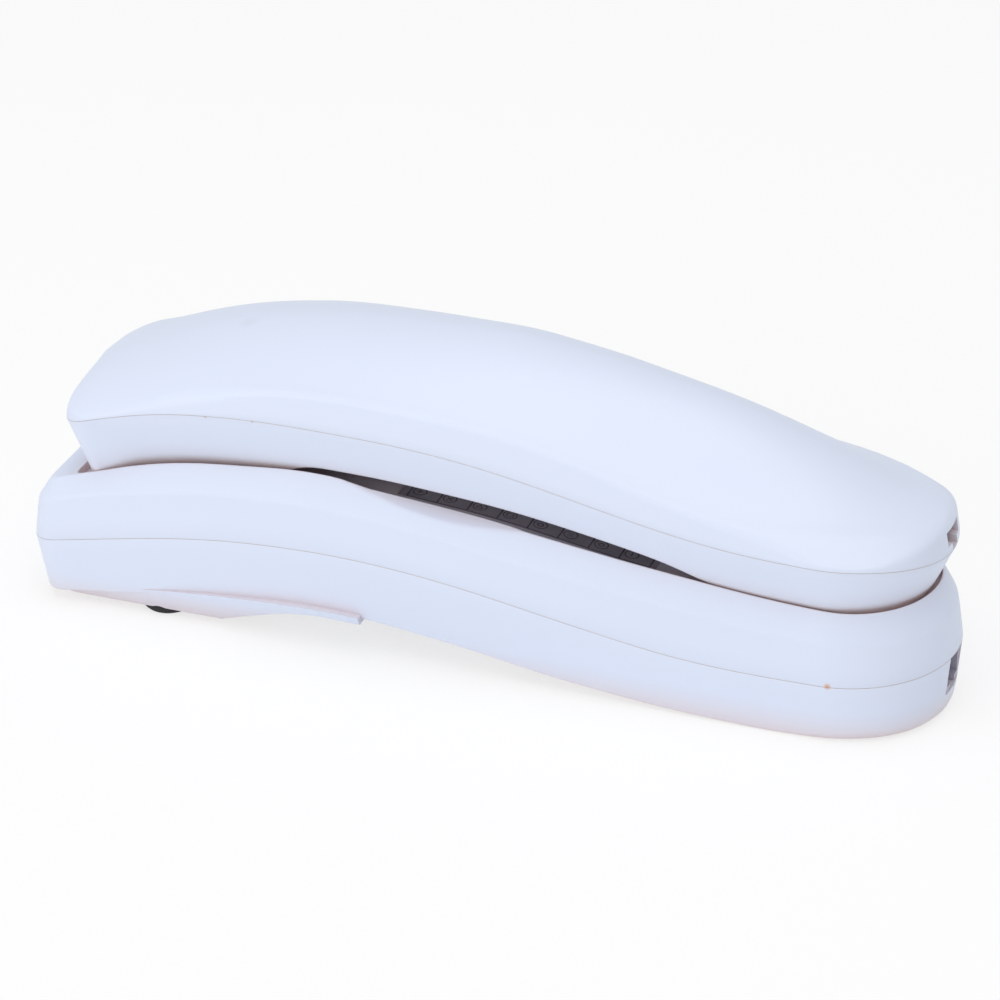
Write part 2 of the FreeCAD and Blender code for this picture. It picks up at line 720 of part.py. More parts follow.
def base_lower_shell():
    outer = tapered(base_runs, part_base, lambda x: -tan_lower, -4.0, 32.0)
    outer = outer.common(over_base(part_base, -parting_gap, -20.0))
    below = outer.common(over_base(bottom_base, 0.0, 120.0))
    hollow = tapered(base_runs, part_base, lambda x: -tan_lower, -4.0, 34.0, base_wall)
    inside = hollow.common(over_base(bottom_base, base_wall / 2.0, 120.0))
    hollow = hollow.common(over_base(bottom_base, base_wall, 120.0))
    shell = below.fuse(plinth(0.0)).cut(hollow).cut(plinth(base_wall))
    shell = shell.fuse(line_pocket(line_pocket_wall).common(below))
    shell = shell.cut(line_pocket(0.0))
    shell = shell.cut(line_jack_way(plinth_end_x - line_pocket_wall - 1.0))
    for x in base_post_x:
        for side in (-1, 1):
            shell = shell.fuse(cyl(post_r, base_board_z, x, side * base_post_y, 0.0).common(inside))
    ring = cyl(ringer_r, ringer_z - plinth_height - 0.5, ringer_x, 0, plinth_height + 0.5)
    shell = shell.fuse(ring.cut(cyl(ringer_r - ringer_ring_t, big, ringer_x, 0, 0)))
    shell = shell.fuse(line_jack_seat())
    shell = shell.cut(cord_opening())
    for i in (-1, 1):
        shell = shell.cut(keyhole(keyhole_x + i * keyhole_spacing / 2.0))
        shell = shell.cut(foot(i, foot_pocket_depth))
    for i in range(6):
        a = math.radians(60.0 + 30.0 * (i % 3) + 180.0 * (i // 3))
        shell = shell.cut(cyl(ringer_hole_r, 8.0, ringer_x + ringer_hole_ring_r * math.cos(a),
                              ringer_hole_ring_r * math.sin(a), 0.0))
    return shell.cut(knob_slot())


def keyhole(x):
    """Keyhole slot, its round head toward the cord end."""
    a = x - keyhole_length / 2.0 + keyhole_slot_r
    b = x + keyhole_length / 2.0 - keyhole_head_r
    slot = box(a, b, -keyhole_slot_r, keyhole_slot_r, -1.0, wall_screw_height)
    slot = slot.fuse(cyl(keyhole_slot_r, wall_screw_height + 1.0, a, 0, -1.0))
    return slot.fuse(cyl(keyhole_head_r, wall_screw_height + 1.0, b, 0, -1.0))


def foot(side, pocket=foot_pocket_depth):
    pad = cyl(foot_r, plinth_height + pocket, foot_x, side * foot_y, 0.0)
    low = [e for e in pad.Edges if e.BoundBox.ZMax < 0.01]
    return pad.makeChamfer(0.5, low)


def line_pocket(grow):
    x0 = plinth_end_x - grow
    x1 = plinth_end_x + line_pocket_l + grow
    w = line_pocket_w / 2.0 + grow
    pocket = box(x0, x1, -w, w, -1.0, line_pocket_top + grow)
    corner = Part.Face(Part.makePolygon([V(x1 + 0.1, -w - 1, line_pocket_top + grow + 0.1),
                                         V(x1 - 12.0, -w - 1, line_pocket_top + grow + 0.1),
                                         V(x1 + 0.1, -w - 1, line_pocket_top - 10.0),
                                         V(x1 + 0.1, -w - 1, line_pocket_top + grow + 0.1)]))
    return pocket.cut(corner.extrude(V(0, 2 * w + 2, 0)))


def line_jack_x1():
    return plinth_end_x - line_pocket_wall


def line_jack_z():
    return line_pocket_top - line_jack_h


def line_jack_way(x0):
    w = line_cavity_w / 2.0
    z = line_jack_z() + line_jack_floor
    return box(x0, plinth_end_x + 0.5, -w, w, z, z + line_cavity_h)


def line_jack_seat():
    """Two ribs that carry the line jack on the floor."""
    x1 = line_jack_x1()
    w = line_jack_w / 2.0
    ribs = box(x1 - line_jack_l, x1, -w, w, line_seat_low, line_jack_z())
    return ribs.cut(box(x1 - line_jack_l - 1, x1 + 1, -w + 2.0, w - 2.0, 0.0, 30.0))


def line_jack():
    x1 = line_jack_x1()
    w = line_jack_w / 2.0
    z = line_jack_z()
    block = box(x1 - line_jack_l, x1, -w, w, z, z + line_jack_h)
    cavity = line_cavity_w / 2.0
    low = z + line_jack_floor
    return block.cut(box(x1 - line_jack_l + 2.0, x1 + 1, -cavity, cavity, low, low + line_cavity_h))


def cord_opening():
    w = cord_opening_w / 2.0
    top = part_base(base_x1)
    return box(cord_jack_x + cord_jack_l - 1.0, base_x1 + reach, -w, w, top - cord_opening_h, top + 1.0)


def cord_jack():
    w = cord_jack_w / 2.0
    low = bottom_base(cord_jack_x) + base_wall
    x1 = cord_jack_x + cord_jack_l
    block = box(cord_jack_x, x1, -w, w, low, cord_jack_top)
    snout = box(x1 - 1.0, cord_jack_reach, -cord_snout_w / 2.0, cord_snout_w / 2.0,
                part_base(base_x1) - cord_opening_h + 0.2, cord_jack_top)
    top = cord_jack_top - 1.0
    cavity = box(cord_jack_reach - cord_cavity_l, base_x1, -cord_cavity_w / 2.0, cord_cavity_w / 2.0,
                 top - cord_cavity_h, top)
    latch = box(cord_jack_reach - cord_cavity_l, base_x1, -jack_latch_w / 2.0, jack_latch_w / 2.0,
                top - cord_cavity_h - cord_latch_h, top - 1.0)
    body = block.common(tapered(base_runs, part_base, lambda x: -tan_lower, -4.0, 34.0, base_wall))
    return body.fuse(snout).cut(cavity).cut(latch)


def knob_slot():
    """Opening for the ringer knob in the far side wall."""
    x0 = ringer_knob_x - ringer_knob_l / 2.0 - ringer_slot_clear
    x1 = ringer_knob_x + ringer_knob_l / 2.0 + ringer_travel + ringer_slot_clear
    z0 = ringer_knob_z - ringer_knob_h / 2.0 - ringer_slot_clear
    z1 = ringer_knob_z + ringer_knob_h / 2.0 + ringer_slot_clear
    return box(x0, x1, base_r - 8.0, base_r + 2.0, z0, z1)


def knob_wall():
    """Inside face of the far side wall at the knob."""
    return base_r - tan_lower * (part_base(ringer_knob_x) - ringer_knob_z) - base_wall


def ringer_knob():
    y0 = knob_wall() - 1.2
    y1 = knob_wall() + base_wall + ringer_knob_proud
    knob = box(ringer_knob_x - ringer_knob_l / 2.0, ringer_knob_x + ringer_knob_l / 2.0, y0, y1,
               ringer_knob_z - ringer_knob_h / 2.0, ringer_knob_z + ringer_knob_h / 2.0)
    return knob.makeFillet(0.4, [e for e in knob.Edges if e.BoundBox.YMin > y1 - 0.01])


def ringer_switch():
    y1 = knob_wall() - 1.5
    x0 = ringer_knob_x - (ringer_switch_l - ringer_travel) / 2.0
    z0 = ringer_knob_z - ringer_switch_h / 2.0
    return box(x0, x0 + ringer_switch_l, y1 - ringer_switch_w, y1, z0, z0 + ringer_switch_h)


def ringer():
    disc = cyl(ringer_r, ringer_h, ringer_x, 0, ringer_z)
    return disc.fuse(cyl(ringer_r - 5.0, 1.0, ringer_x, 0, ringer_z + ringer_h))


def rim_bevel():
    """Prisms above the sloping rim, to be cut from the upper shell."""
    def low_inset(x):
        return shoulder_inset - 1.6

    def low_level(x):
        return shoulder_base(x) - 1.6 * (rim_top(x) - shoulder_base(x)) / rim_width

    def high_inset(x):
        return shoulder_inset + rim_width * 1.4

    def high_level(x):
        return shoulder_base(x) + 1.4 * (rim_top(x) - shoulder_base(x))

    low = ring_edges(base_runs, low_inset, low_level)
    high = ring_edges(base_runs, high_inset, high_level)
    return [Part.makeRuledSurface(a, b).extrude(V(0, 0, 40.0)) for a, b in zip(low, high)]


def base_upper_shell():
    shell = tapered(base_runs, part_base, lambda x: tan_upper, 8.0, 60.0)
    shell = shell.common(over_base(part_base, parting_gap, 120.0))
    shell = shell.common(over_base(rim_top, 0.0, 0.0))
    for prism in rim_bevel():
        shell = shell.cut(prism)
    hollow = tapered(base_runs, part_base, lambda x: tan_upper, 6.0, 60.0, base_wall)
    roof = over_base(roof_line, 0.0, 0.0)
    shell = shell.cut(hollow.common(roof))
    shell = shell.cut(well())
    for side in (-1, 1):
        shell = shell.cut(scoop(side))
    shell = shell.cut(card_space(card_fit, -card_recess, 3.0))
    return shell.cut(cyl(plunger_r + plunger_fit, 30.0, plunger_x, 0, 15.0))


def well():
    """Cradle: a pocket at each end and a trough with sloping sides between them."""
    runs = outline(base_x0 + well_end_inset, base_x1 - rim_inset, base_r - rim_inset, well_corner_r)
    plan = tapered(runs, rim_top, lambda x: -tan_well, 26.0, 60.0)
    above = over_base(floor_well, 0.0, 120.0)
    left = box(base_x0, trough_start_x, -30, 30, 20.0, 70.0)
    right = box(trough_end_x, base_x1, -30, 30, 20.0, 70.0)
    cut = plan.common(above).common(left.fuse(right))
    w = trough_half_width
    middle = slab(floor_well, 0.0, 80.0, trough_start_x, trough_end_x, -w, V(0, 2 * w, 0), 40)
    cut = cut.fuse(middle)
    run = base_r - rim_inset - w
    for side in (-1, 1):
        push = V(0, side * run, run * trough_side_rise)
        cut = cut.fuse(slab(floor_well, 0.0, 80.0, trough_start_x, trough_end_x, side * w, push, 40))
    return cut


def scoop(side):
    """Everything above the scoop facet of one long side."""
    y = side * (base_r - rim_inset - scoop_reach / 2.0)
    lift = scoop_slope * scoop_reach / 2.0
    push = V(0, side * 2 * scoop_reach, -2 * scoop_reach * scoop_slope)
    return slab(scoop_line, lift, 70.0, scoop_start_x, scoop_end_x, y, push)


def card_space(grow, dz0, dz1):
    return sheet(floor_well, dz0, dz1, card_x0 - grow, card_x1 + grow,
                 -card_width / 2.0 - grow, card_width / 2.0 + grow)


def index_card():
    return card_space(0.0, -card_recess, -card_recess + card_thickness)


def card_cover():
    low = -card_recess + card_thickness
    return card_space(0.0, low, low + cover_thickness)


def plunger_top():
    return bottom_hand(plunger_x) - plunger_gap


def flange_top():
    return floor_well(plunger_x) - base_wall - plunger_travel - plunger_gap


def switch_top():
    return base_board_z + base_board_t + hook_switch_h + leaf_rise


def hook_plunger():
    top = plunger_top()
    high = flange_top()
    rod = cyl(plunger_r, top - high, plunger_x, 0, high)
    rod = rod.makeChamfer(0.8, [e for e in rod.Edges if e.BoundBox.ZMin > top - 0.01])
    flange = cyl(plunger_flange_r, plunger_flange_t, plunger_x, 0, high - plunger_flange_t)
    low = switch_top() + plunger_gap
    stem = cyl(plunger_stem_r, high - plunger_flange_t - low, plunger_x, 0, low)
    return rod.fuse(flange).fuse(stem)


def hook_switch():
    w = hook_switch_w / 2.0
    z = base_board_z + base_board_t
    x0 = plunger_x - hook_switch_l / 2.0
    body = box(x0, x0 + hook_switch_l, -w, w, z, z + hook_switch_h)
    leaf = box(x0, x0 + 1.0, -w + 1.0, w - 1.0, z + 1.0, z + hook_switch_h + leaf_rise)
    arm = box(x0, x0 + hook_switch_l - 1.0, -w + 1.0, w - 1.0, z + hook_switch_h + leaf_rise - leaf_t,
              z + hook_switch_h + leaf_rise)
    return body.fuse(leaf).fuse(arm)


def base_board():
    w = base_board_w / 2.0
    return box(base_board_x0, base_board_x1, -w, w, base_board_z, base_board_z + base_board_t)


key_names = ["1", "2", "3", "4", "5", "6", "7", "8", "9", "star", "0", "hash", "mem", "redial", "flash"]
makers = [handset_back, handset_face, key_mat, keypad_film, handset_board, receiver, receiver_gasket,
          microphone, microphone_boot, handset_jack, base_lower_shell, base_upper_shell, index_card,
          card_cover, hook_plunger, hook_switch, base_board, line_jack, cord_jack, ringer,
          ringer_switch, ringer_knob]
nodes = {maker.__name__: maker() for maker in makers}
nodes["foot_near"] = foot(-1)
nodes["foot_far"] = foot(1)
for name, (x, y) in zip(key_names, key_places()):
    nodes["key_" + name] = key(x, y)

os.makedirs("parts", exist_ok=True)
for name, shape in nodes.items():
    print(name, shape.isValid(), len(shape.Solids), round(shape.Volume / 1000.0, 2), len(shape.Faces))
    shape.exportStep("parts/%s.step" % name)
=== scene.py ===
import bmesh
import bpy
import json
from math import atan2, cos, hypot, pi, radians, sin, sqrt, tan
from mathutils import Matrix, Vector


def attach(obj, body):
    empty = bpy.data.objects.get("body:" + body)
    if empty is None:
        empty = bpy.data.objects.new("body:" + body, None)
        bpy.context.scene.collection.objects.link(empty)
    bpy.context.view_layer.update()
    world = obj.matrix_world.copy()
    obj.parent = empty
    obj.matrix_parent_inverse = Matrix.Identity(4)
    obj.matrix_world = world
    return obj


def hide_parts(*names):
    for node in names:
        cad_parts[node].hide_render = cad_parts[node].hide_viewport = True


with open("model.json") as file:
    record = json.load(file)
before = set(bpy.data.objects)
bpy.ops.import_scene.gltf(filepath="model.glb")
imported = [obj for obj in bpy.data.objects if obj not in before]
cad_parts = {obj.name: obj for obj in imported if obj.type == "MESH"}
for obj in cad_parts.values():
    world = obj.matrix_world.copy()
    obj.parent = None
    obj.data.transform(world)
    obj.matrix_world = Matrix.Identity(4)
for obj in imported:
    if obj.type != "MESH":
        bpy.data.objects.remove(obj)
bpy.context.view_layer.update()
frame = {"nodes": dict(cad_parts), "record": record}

# All shapes below are worked out in millimetres and turned into metres when a mesh is made.
# +X runs toward the mouthpiece and cord end, +Z is up off the desk. A span is (from, to) along X.
MM = 0.001

# plan sizes shared by the shells, each plan as (from, to, nose radius, corner radius)
HALF = 110.3
BASE_R = 26.0
BASE_CORNER = 8.0
BASE_PLAN = (-HALF, HALF, BASE_R, BASE_CORNER)
HAND_X0 = -100.0
HAND_X1 = 108.5
HAND_R = 26.0
HAND_CORNER = 8.6
HAND_PLAN = (HAND_X0, HAND_X1, HAND_R, HAND_CORNER)
WALL = 2.2
SHOULDER_INSET = 1.4
TAN_LOWER = tan(radians(9.0))
TAN_LOWER_NOSE = tan(radians(5.0))
TAN_UPPER = tan(radians(7.5))
TAN_BACK = tan(radians(9.0))
TAN_FACE = tan(radians(24.0))
TAN_FACE_END = tan(radians(19.0))
TAN_WELL = tan(radians(3.0))

# handset: crown, nose, rounded earpiece end, crease and the edge of the face
CREASE_HALF = HAND_R - SHOULDER_INSET
CROWN_POWERS = (1.25, 1.5)
CROWN_POWER_SPAN = (-60.0, 40.0)
NO_CROWN = 0.01
NOSE_START = 52.0
NOSE_LENGTH = 54.8
NOSE_POWER = 2.25
NOSE_FALL = 13.5
NOSE_SOFTNESS = 0.0003
NOSE_BAND = 1.0
BAND_SOFTNESS = 0.2
EAR_SIDE_SPAN = (-85.0, -45.0)
EAR_SIDE_FALL = 1.6
EAR_SIDE_REACH = 10.0
EAR_END_FALL = 3.2
EAR_END_REACH = 9.0
CREASE_R = 1.1
CREASE_R_EAR = 3.9
CREASE_R_SPAN = (-92.0, -42.0)
BACK_ROOF = 2.5
BACK_WALL_SHARES = (0.66, 0.33)
FACE_END_SPAN = (HAND_X0 + 5.0, HAND_X0 + 20.0)
FACE_EDGE_R = 0.9

# base: rim, well, trough, finger scoops and the edge of the underside; the rim's roundings are
# (radius, steps) from the well's floor out to the shoulder
RIM_WIDTH = 3.4
RIM_INSET = 5.2
RIM_ROUNDINGS = ((0.7, 3), (0.25, 2), (0.4, 3), (0.7, 4), (0.7, 4))
UPPER_WALL_SHARES = (0.7, 0.4)
SHOULDER_ROUND_FROM = 2.0
SIDE_FACING = 0.99
WELL_END_INSET = 12.0
WELL_CORNER = 2.2
WELL_PLAN = (-HALF + WELL_END_INSET, HALF - RIM_INSET, BASE_R - RIM_INSET, WELL_CORNER)
WELL_EVEN_FROM = -80.0
WELL_ROUND_FROM = 0.2
WELL_CLEAR = 0.4
TROUGH_START = -45.0
TROUGH_END = 54.0
TROUGH_BLEND = 2.0
TROUGH_SIDE_RISE = 0.68
TROUGH_HALF = 14.8
STEP_RUN = 0.05
STEP_DROP = 0.02
SCOOP_START = -38.0
SCOOP_END = 22.0
SCOOP_DEPTH = 2.1
SCOOP_LEAD = 0.4
SCOOP_SLOPE = 0.45
ROOF_DROP = 4.8
ROOF_DROP_SPAN = (-HALF, -HALF + 14.0)
LOWER_NOSE_SPAN = (HALF - 22.0, HALF - 4.0)
LOWER_EDGE_R = 0.6
LOWER_EDGE_R_NOSE = 3.6
LOWER_EDGE_SPAN = (70.0, 104.0)

# half of the seam between two shells, its lip, its depth, and how far from it soil may lie
SEAM_HALF = 0.03
SEAM_LIP = 0.09
SEAM_DEPTH = 0.05
SEAM_REACH = 0.5

# how columns of points are spaced, rounded and brought to the centre line
SPINE_NOSE_SHARE = 0.72
SPINE_END_INSET = 1.5
SPINE_END_POWER = 0.8
SPINE_CLEAR = 0.5
ROUND_LIMIT = 0.4
ROOF_STEPS = 16
ROOF_SPREAD = 1.25
CREASE_STEPS = 7
BACK_INSIDE_STEPS = 8
INSIDE_STEPS = 5
FLOOR_STEPS = 9
FACE_STEPS = 5
LOWER_STEPS = 4
WELL_STEPS = 8
CREASE_SEARCH = (-1.5, 24.0)
FOOT_SEARCH = (2.0, 26.0)
HALVINGS = 30
MERGE_WITHIN = 0.004
EMPTY_BELOW = 0.002
SHARP_DEGREES = 32.0


class Line:
    """Natural cubic through stations of (share of the half length, height)."""

    def __init__(self, stations):
        self.x = [s * HALF for s, z in stations]
        self.z = [z for s, z in stations]
        n = len(self.x)
        h = [self.x[i + 1] - self.x[i] for i in range(n - 1)]
        m = [0.0] * n
        c = [0.0] * n
        d = [0.0] * n
        for i in range(1, n - 1):
            bend = 6.0 * ((self.z[i + 1] - self.z[i]) / h[i] - (self.z[i] - self.z[i - 1]) / h[i - 1])
            pivot = 2.0 * (h[i - 1] + h[i]) - h[i - 1] * c[i - 1]
            c[i] = h[i] / pivot
            d[i] = (bend - h[i - 1] * d[i - 1]) / pivot
        for i in range(n - 2, 0, -1):
            m[i] = d[i] - c[i] * m[i + 1]
        self.m = m
        self.h = h

    def __call__(self, x):
        xs = self.x
        if x <= xs[0]:
            return self.z[0]
        if x >= xs[-1]:
            return self.z[-1]
        i = 0
        while xs[i + 1] < x:
            i += 1
        h = self.h[i]
        p = (xs[i + 1] - x) / h
        q = (x - xs[i]) / h
        bow = (p ** 3 - p) * self.m[i] + (q ** 3 - q) * self.m[i + 1]
        return p * self.z[i] + q * self.z[i + 1] + bow * h * h / 6.0


base_seam = Line([
    (-1.0, 16.6), (-0.87, 19.5), (-0.72, 22.8), (-0.56, 25.6), (-0.41, 26.9), (-0.27, 27.1), (-0.13, 26.2),
    (0.02, 24.2), (0.165, 21.5), (0.31, 18.8), (0.45, 16.6), (0.60, 15.6), (0.78, 15.6), (1.0, 15.7)
])
base_shoulder = Line([
    (-1.0, 26.3), (-0.95, 27.8), (-0.87, 30.5), (-0.76, 33.2), (-0.61, 36.2), (-0.50, 37.5), (-0.40, 38.0),
    (-0.29, 37.9), (-0.18, 37.0), (-0.08, 35.8), (0.02, 34.1), (0.15, 32.1), (0.26, 30.6), (0.36, 29.3),
    (0.46, 28.1), (0.56, 26.9), (0.66, 26.0), (0.78, 25.5), (1.0, 25.4)
])
base_bottom = Line([
    (-1.0, 1.9), (-0.93, 3.2), (-0.82, 4.8), (-0.70, 6.9), (-0.57, 8.6), (-0.43, 9.9), (-0.30, 10.3),
    (-0.20, 9.7), (-0.10, 8.4), (0.0, 6.9), (0.10, 5.1), (0.20, 3.4), (0.30, 2.2), (0.40, 1.2), (0.52, 0.5),
    (0.65, 0.1), (0.78, 0.02), (1.0, 0.02)
])
hand_seam = Line([
    (-0.95, 48.0), (-0.89, 49.6), (-0.84, 51.4), (-0.78, 53.4), (-0.69, 55.9), (-0.56, 58.0), (-0.43, 58.9),
    (-0.29, 58.9), (-0.16, 58.5), (-0.03, 57.4), (0.10, 55.4), (0.23, 52.6), (0.36, 49.6), (0.48, 47.2),
    (0.61, 45.5), (0.74, 44.9), (0.83, 44.6), (0.87, 44.3), (0.905, 43.8), (0.935, 43.2), (0.96, 42.5),
    (0.98, 41.7), (1.02, 40.6)
])
back_shoulder = Line([
    (-0.95, 56.2), (-0.89, 55.6), (-0.82, 56.2), (-0.73, 59.3), (-0.62, 62.9), (-0.51, 65.3), (-0.40, 66.7),
    (-0.29, 67.2), (-0.16, 67.0), (-0.05, 66.2), (0.05, 65.2), (0.15, 63.2), (0.26, 60.3), (0.36, 57.1),
    (0.46, 54.3), (0.56, 52.2), (0.66, 51.2), (0.76, 50.8), (0.85, 50.3), (0.92, 49.8), (0.955, 49.2),
    (0.98, 48.5), (1.02, 47.4)
])
crown_rise = Line([
    (-0.95, 3.6), (-0.91, 4.0), (-0.86, 4.3), (-0.80, 5.0), (-0.72, 5.6), (-0.62, 6.3), (-0.47, 7.2),
    (-0.31, 8.3), (-0.13, 9.9), (0.05, 11.8), (0.19, 13.1), (0.32, 14.6), (0.46, 15.4), (0.58, 14.0),
    (0.68, 10.6), (0.78, 6.3), (0.87, 2.6), (0.95, 0.5), (1.02, 0.0)
])
face_bottom_stations = [
    (-0.95, 32.0), (-0.82, 32.4), (-0.66, 33.4), (-0.53, 34.8), (-0.46, 37.6), (-0.41, 42.2), (-0.36, 45.2),
    (-0.29, 45.9), (-0.18, 45.6), (-0.06, 44.7), (0.06, 43.7), (0.17, 42.3), (0.27, 40.6), (0.36, 38.8),
    (0.44, 36.6), (0.52, 33.2), (0.60, 30.5), (0.68, 29.8), (0.80, 29.8), (1.02, 29.8)
]
face_bottom = Line(face_bottom_stations)
well_floor = Line(
    [(s, z - WELL_CLEAR) for s, z in face_bottom_stations if s < -0.5]
    + [(-0.48, 35.2), (-0.42, 37.0), (-0.36, 38.6), (-0.29, 39.5), (-0.18, 39.0), (-0.06, 37.9),
       (0.06, 36.4), (0.17, 34.4), (0.27, 32.5), (0.36, 31.0), (0.44, 30.2), (0.52, 29.9)]
    + [(s, z - WELL_CLEAR) for s, z in face_bottom_stations if s > 0.6]
)
rim_rise = Line([
    (-1.0, 3.6), (-0.90, 4.2), (-0.83, 4.5), (-0.78, 5.2), (-0.71, 5.9), (-0.60, 6.2), (-0.48, 6.4),
    (-0.40, 6.9), (-0.34, 7.1), (-0.20, 6.9), (0.20, 6.7), (0.38, 6.5), (0.60, 6.5), (0.75, 6.4), (1.0, 6.6)
])
plinth_arch = Line([
    (-0.57, 1.5), (-0.543, 2.5), (-0.517, 3.6), (-0.481, 5.05), (-0.441, 6.6), (-0.405, 7.9),
    (-0.367, 8.65), (-0.338, 9.05), (-0.306, 9.1), (-0.275, 8.95), (-0.22, 8.8)
])


def share(x, x0, x1):
    """0 before x0, 1 after x1, even between."""
    return min(1.0, max(0.0, (x - x0) / (x1 - x0)))


def ease(x, x0, x1):
    """0 before x0, 1 after x1, smooth between."""
    t = share(x, x0, x1)
    return t * t * (3.0 - 2.0 * t)


def lerp(a, b, t):
    return a + (b - a) * t


def rim_top(x):
    return base_shoulder(x) + rim_rise(x)


def scoop_dip(x):
    t = share(x, SCOOP_START, SCOOP_END)
    return (SCOOP_DEPTH + SCOOP_LEAD) * sin(pi * t) ** 2 - SCOOP_LEAD


def along_nose(x):
    """0 where the handset's crease begins to turn in, 1 at the tip of its nose."""
    return max(0.0, (x - NOSE_START) / NOSE_LENGTH)


def crown_height(x, y):
    """Handset back: shoulder line, ogee crown, and the fall outside the nose line."""
    w = CREASE_HALF * sqrt(max(0.0, 1.0 - along_nose(x) ** NOSE_POWER))
    z = back_shoulder(x)
    power = lerp(*CROWN_POWERS, share(x, *CROWN_POWER_SPAN))
    if w > NO_CROWN and abs(y) < w:
        t = abs(y) / w
        z += crown_rise(x) * (1.0 - t * t) ** power
    e = sqrt(along_nose(x) ** NOSE_POWER + (y / CREASE_HALF) ** 2) - 1.0
    z -= NOSE_FALL * (sqrt(e * e + NOSE_SOFTNESS) + e)
    z -= ear_fall(x, y)
    low = hand_seam(x) + NOSE_BAND
    return low + 0.5 * (z - low + sqrt((z - low) ** 2 + BAND_SOFTNESS))


def ear_fall(x, y):
    """Rounded top edges of the earpiece end, taken off the crown's height."""
    to_side = CREASE_HALF - abs(y)
    to_end = x - HAND_X0 - SHOULDER_INSET
    side = EAR_SIDE_FALL * (1.0 - ease(x, *EAR_SIDE_SPAN)) * max(0.0, 1.0 - to_side / EAR_SIDE_REACH) ** 2
    return side + EAR_END_FALL * max(0.0, 1.0 - to_end / EAR_END_REACH) ** 2


# plan outlines

SIDE_STEPS = 80
NOSE_STEPS = 36
CORNER_STEPS = 8
END_STEPS = 14


def arc(x, y, r, start, turn, steps, first=0):
    """Points (x, y, normal x, normal y) on an arc, one short of its end unless first is 1."""
    points = []
    for i in range(first, first + steps):
        a = radians(start + turn * i / steps)
        points.append((x + r * cos(a), y + r * sin(a), cos(a), sin(a)))
    return points


def side_run(x0, x1, r_nose, r_corner):
    """Even places along the straight sides of a plan."""
    return [lerp(x0 + r_corner, x1 - r_nose, i / SIDE_STEPS) for i in range(SIDE_STEPS + 1)]


def outline(plan, xs):
    """Plan of a shell as (x, y, normal x, normal y), once round from the near side."""
    x0, x1, r_nose, r_corner = plan
    yc = r_nose - r_corner
    points = [(x, -r_nose, 0.0, -1.0) for x in xs[:-1]]
    points += arc(x1 - r_nose, 0.0, r_nose, -90.0, 180.0, NOSE_STEPS)
    points += [(x, r_nose, 0.0, 1.0) for x in xs[:0:-1]]
    points += arc(x0 + r_corner, yc, r_corner, 90.0, 90.0, CORNER_STEPS)
    points += [(x0, lerp(yc, -yc, i / END_STEPS), -1.0, 0.0) for i in range(END_STEPS)]
    return points + arc(x0 + r_corner, -yc, r_corner, 180.0, 90.0, CORNER_STEPS)


def spine_x(x, y, x0, x1, r_nose, r_corner):
    """Where on the centre line the surface of a plan point ends."""
    xc = x1 - r_nose
    xa = x0 + r_corner
    if x > xc:
        return xc + SPINE_NOSE_SHARE * (x - xc)
    if x < xa:
        return lerp(x0 + SPINE_END_INSET, xa, min(1.0, abs(y) / r_nose) ** SPINE_END_POWER)
    return x


# runs of points that make up a column

def drafted(point, seam, slope, way):
    """Side wall of a plan point: h millimetres from the seam, upward with way 1, downward with -1."""
    px, py, nx, ny = point

    def wall(h, inset=0.0):
        d = inset + slope * h
        return (px - nx * d, py - ny * d, seam + way * h)

    return wall


def rounded(a, corner, b, steps):
    """Points from a to b that round the corner between them."""
    run = []
    for i in range(steps + 1):
        t = i / steps
        p = (1.0 - t) ** 2
        q = 2.0 * t * (1.0 - t)
        r = t * t
        run.append(tuple(p * a[k] + q * corner[k] + r * b[k] for k in range(3)))
    return run


def toward(a, b, d):
    """The point d millimetres from a on the way to b, at most half way."""
    v = [b[k] - a[k] for k in range(3)]
    n = sqrt(sum(c * c for c in v)) or 1.0
    t = min(d / n, 0.5)
    return tuple(a[k] + v[k] * t for k in range(3))


def corner_round(before, corner, after, r, steps):
    return rounded(toward(corner, before, r), corner, toward(corner, after, r), steps)


def meeting(wall, surface, near, far):
    """The point of a wall, between two distances from its seam, where it meets a surface."""
    def above(h):
        x, y, z = wall(h)
        return z > surface(x, y)

    start = above(near)
    for _ in range(HALVINGS):
        mid = 0.5 * (near + far)
        if above(mid) == start:
            near = mid
        else:
            far = mid
    return wall(near)


def to_spine(start, sx, height, steps):
    """Points from just past the start to the centre line, at a height that x and y give."""
    run = []
    for i in range(1, steps + 1):
        t = i / steps
        x = lerp(start[0], sx, t)
        y = start[1] * (1.0 - t)
        run.append((x, y, height(x, y)))
    return run


def add_seam(column, wall):
    """Add the lip, the groove and the inner edge of the seam, and tell where the groove is."""
    column.append(wall(SEAM_HALF + SEAM_LIP))
    seam_at = len(column)
    column += [wall(SEAM_HALF, SEAM_DEPTH), wall(SEAM_HALF, WALL)]
    return seam_at


# meshes from columns

def in_scene(name, data):
    obj = bpy.data.objects.new(name, data)
    bpy.context.scene.collection.objects.link(obj)
    return obj


def mesh_object(name, verts, faces):
    """Flat-shaded object of points in millimetres."""
    mesh = bpy.data.meshes.new(name)
    mesh.from_pydata([(x * MM, y * MM, z * MM) for x, y, z in verts], [], faces)
    mesh.update()
    return in_scene(name, mesh)


def normals_out(mesh, merge=False):
    """Turn all normals out; with merge, first join points that meet and drop empty faces."""
    bm = bmesh.new()
    bm.from_mesh(mesh)
    if merge:
        bmesh.ops.remove_doubles(bm, verts=bm.verts, dist=MERGE_WITHIN * MM)
        bmesh.ops.dissolve_degenerate(bm, edges=bm.edges, dist=EMPTY_BELOW * MM)
    bmesh.ops.recalc_face_normals(bm, faces=bm.faces)
    bm.to_mesh(mesh)
    bm.free()


def smooth_but_edges(mesh):
    mesh.shade_smooth()
    mesh.set_sharp_from_angle(angle=radians(SHARP_DEGREES))


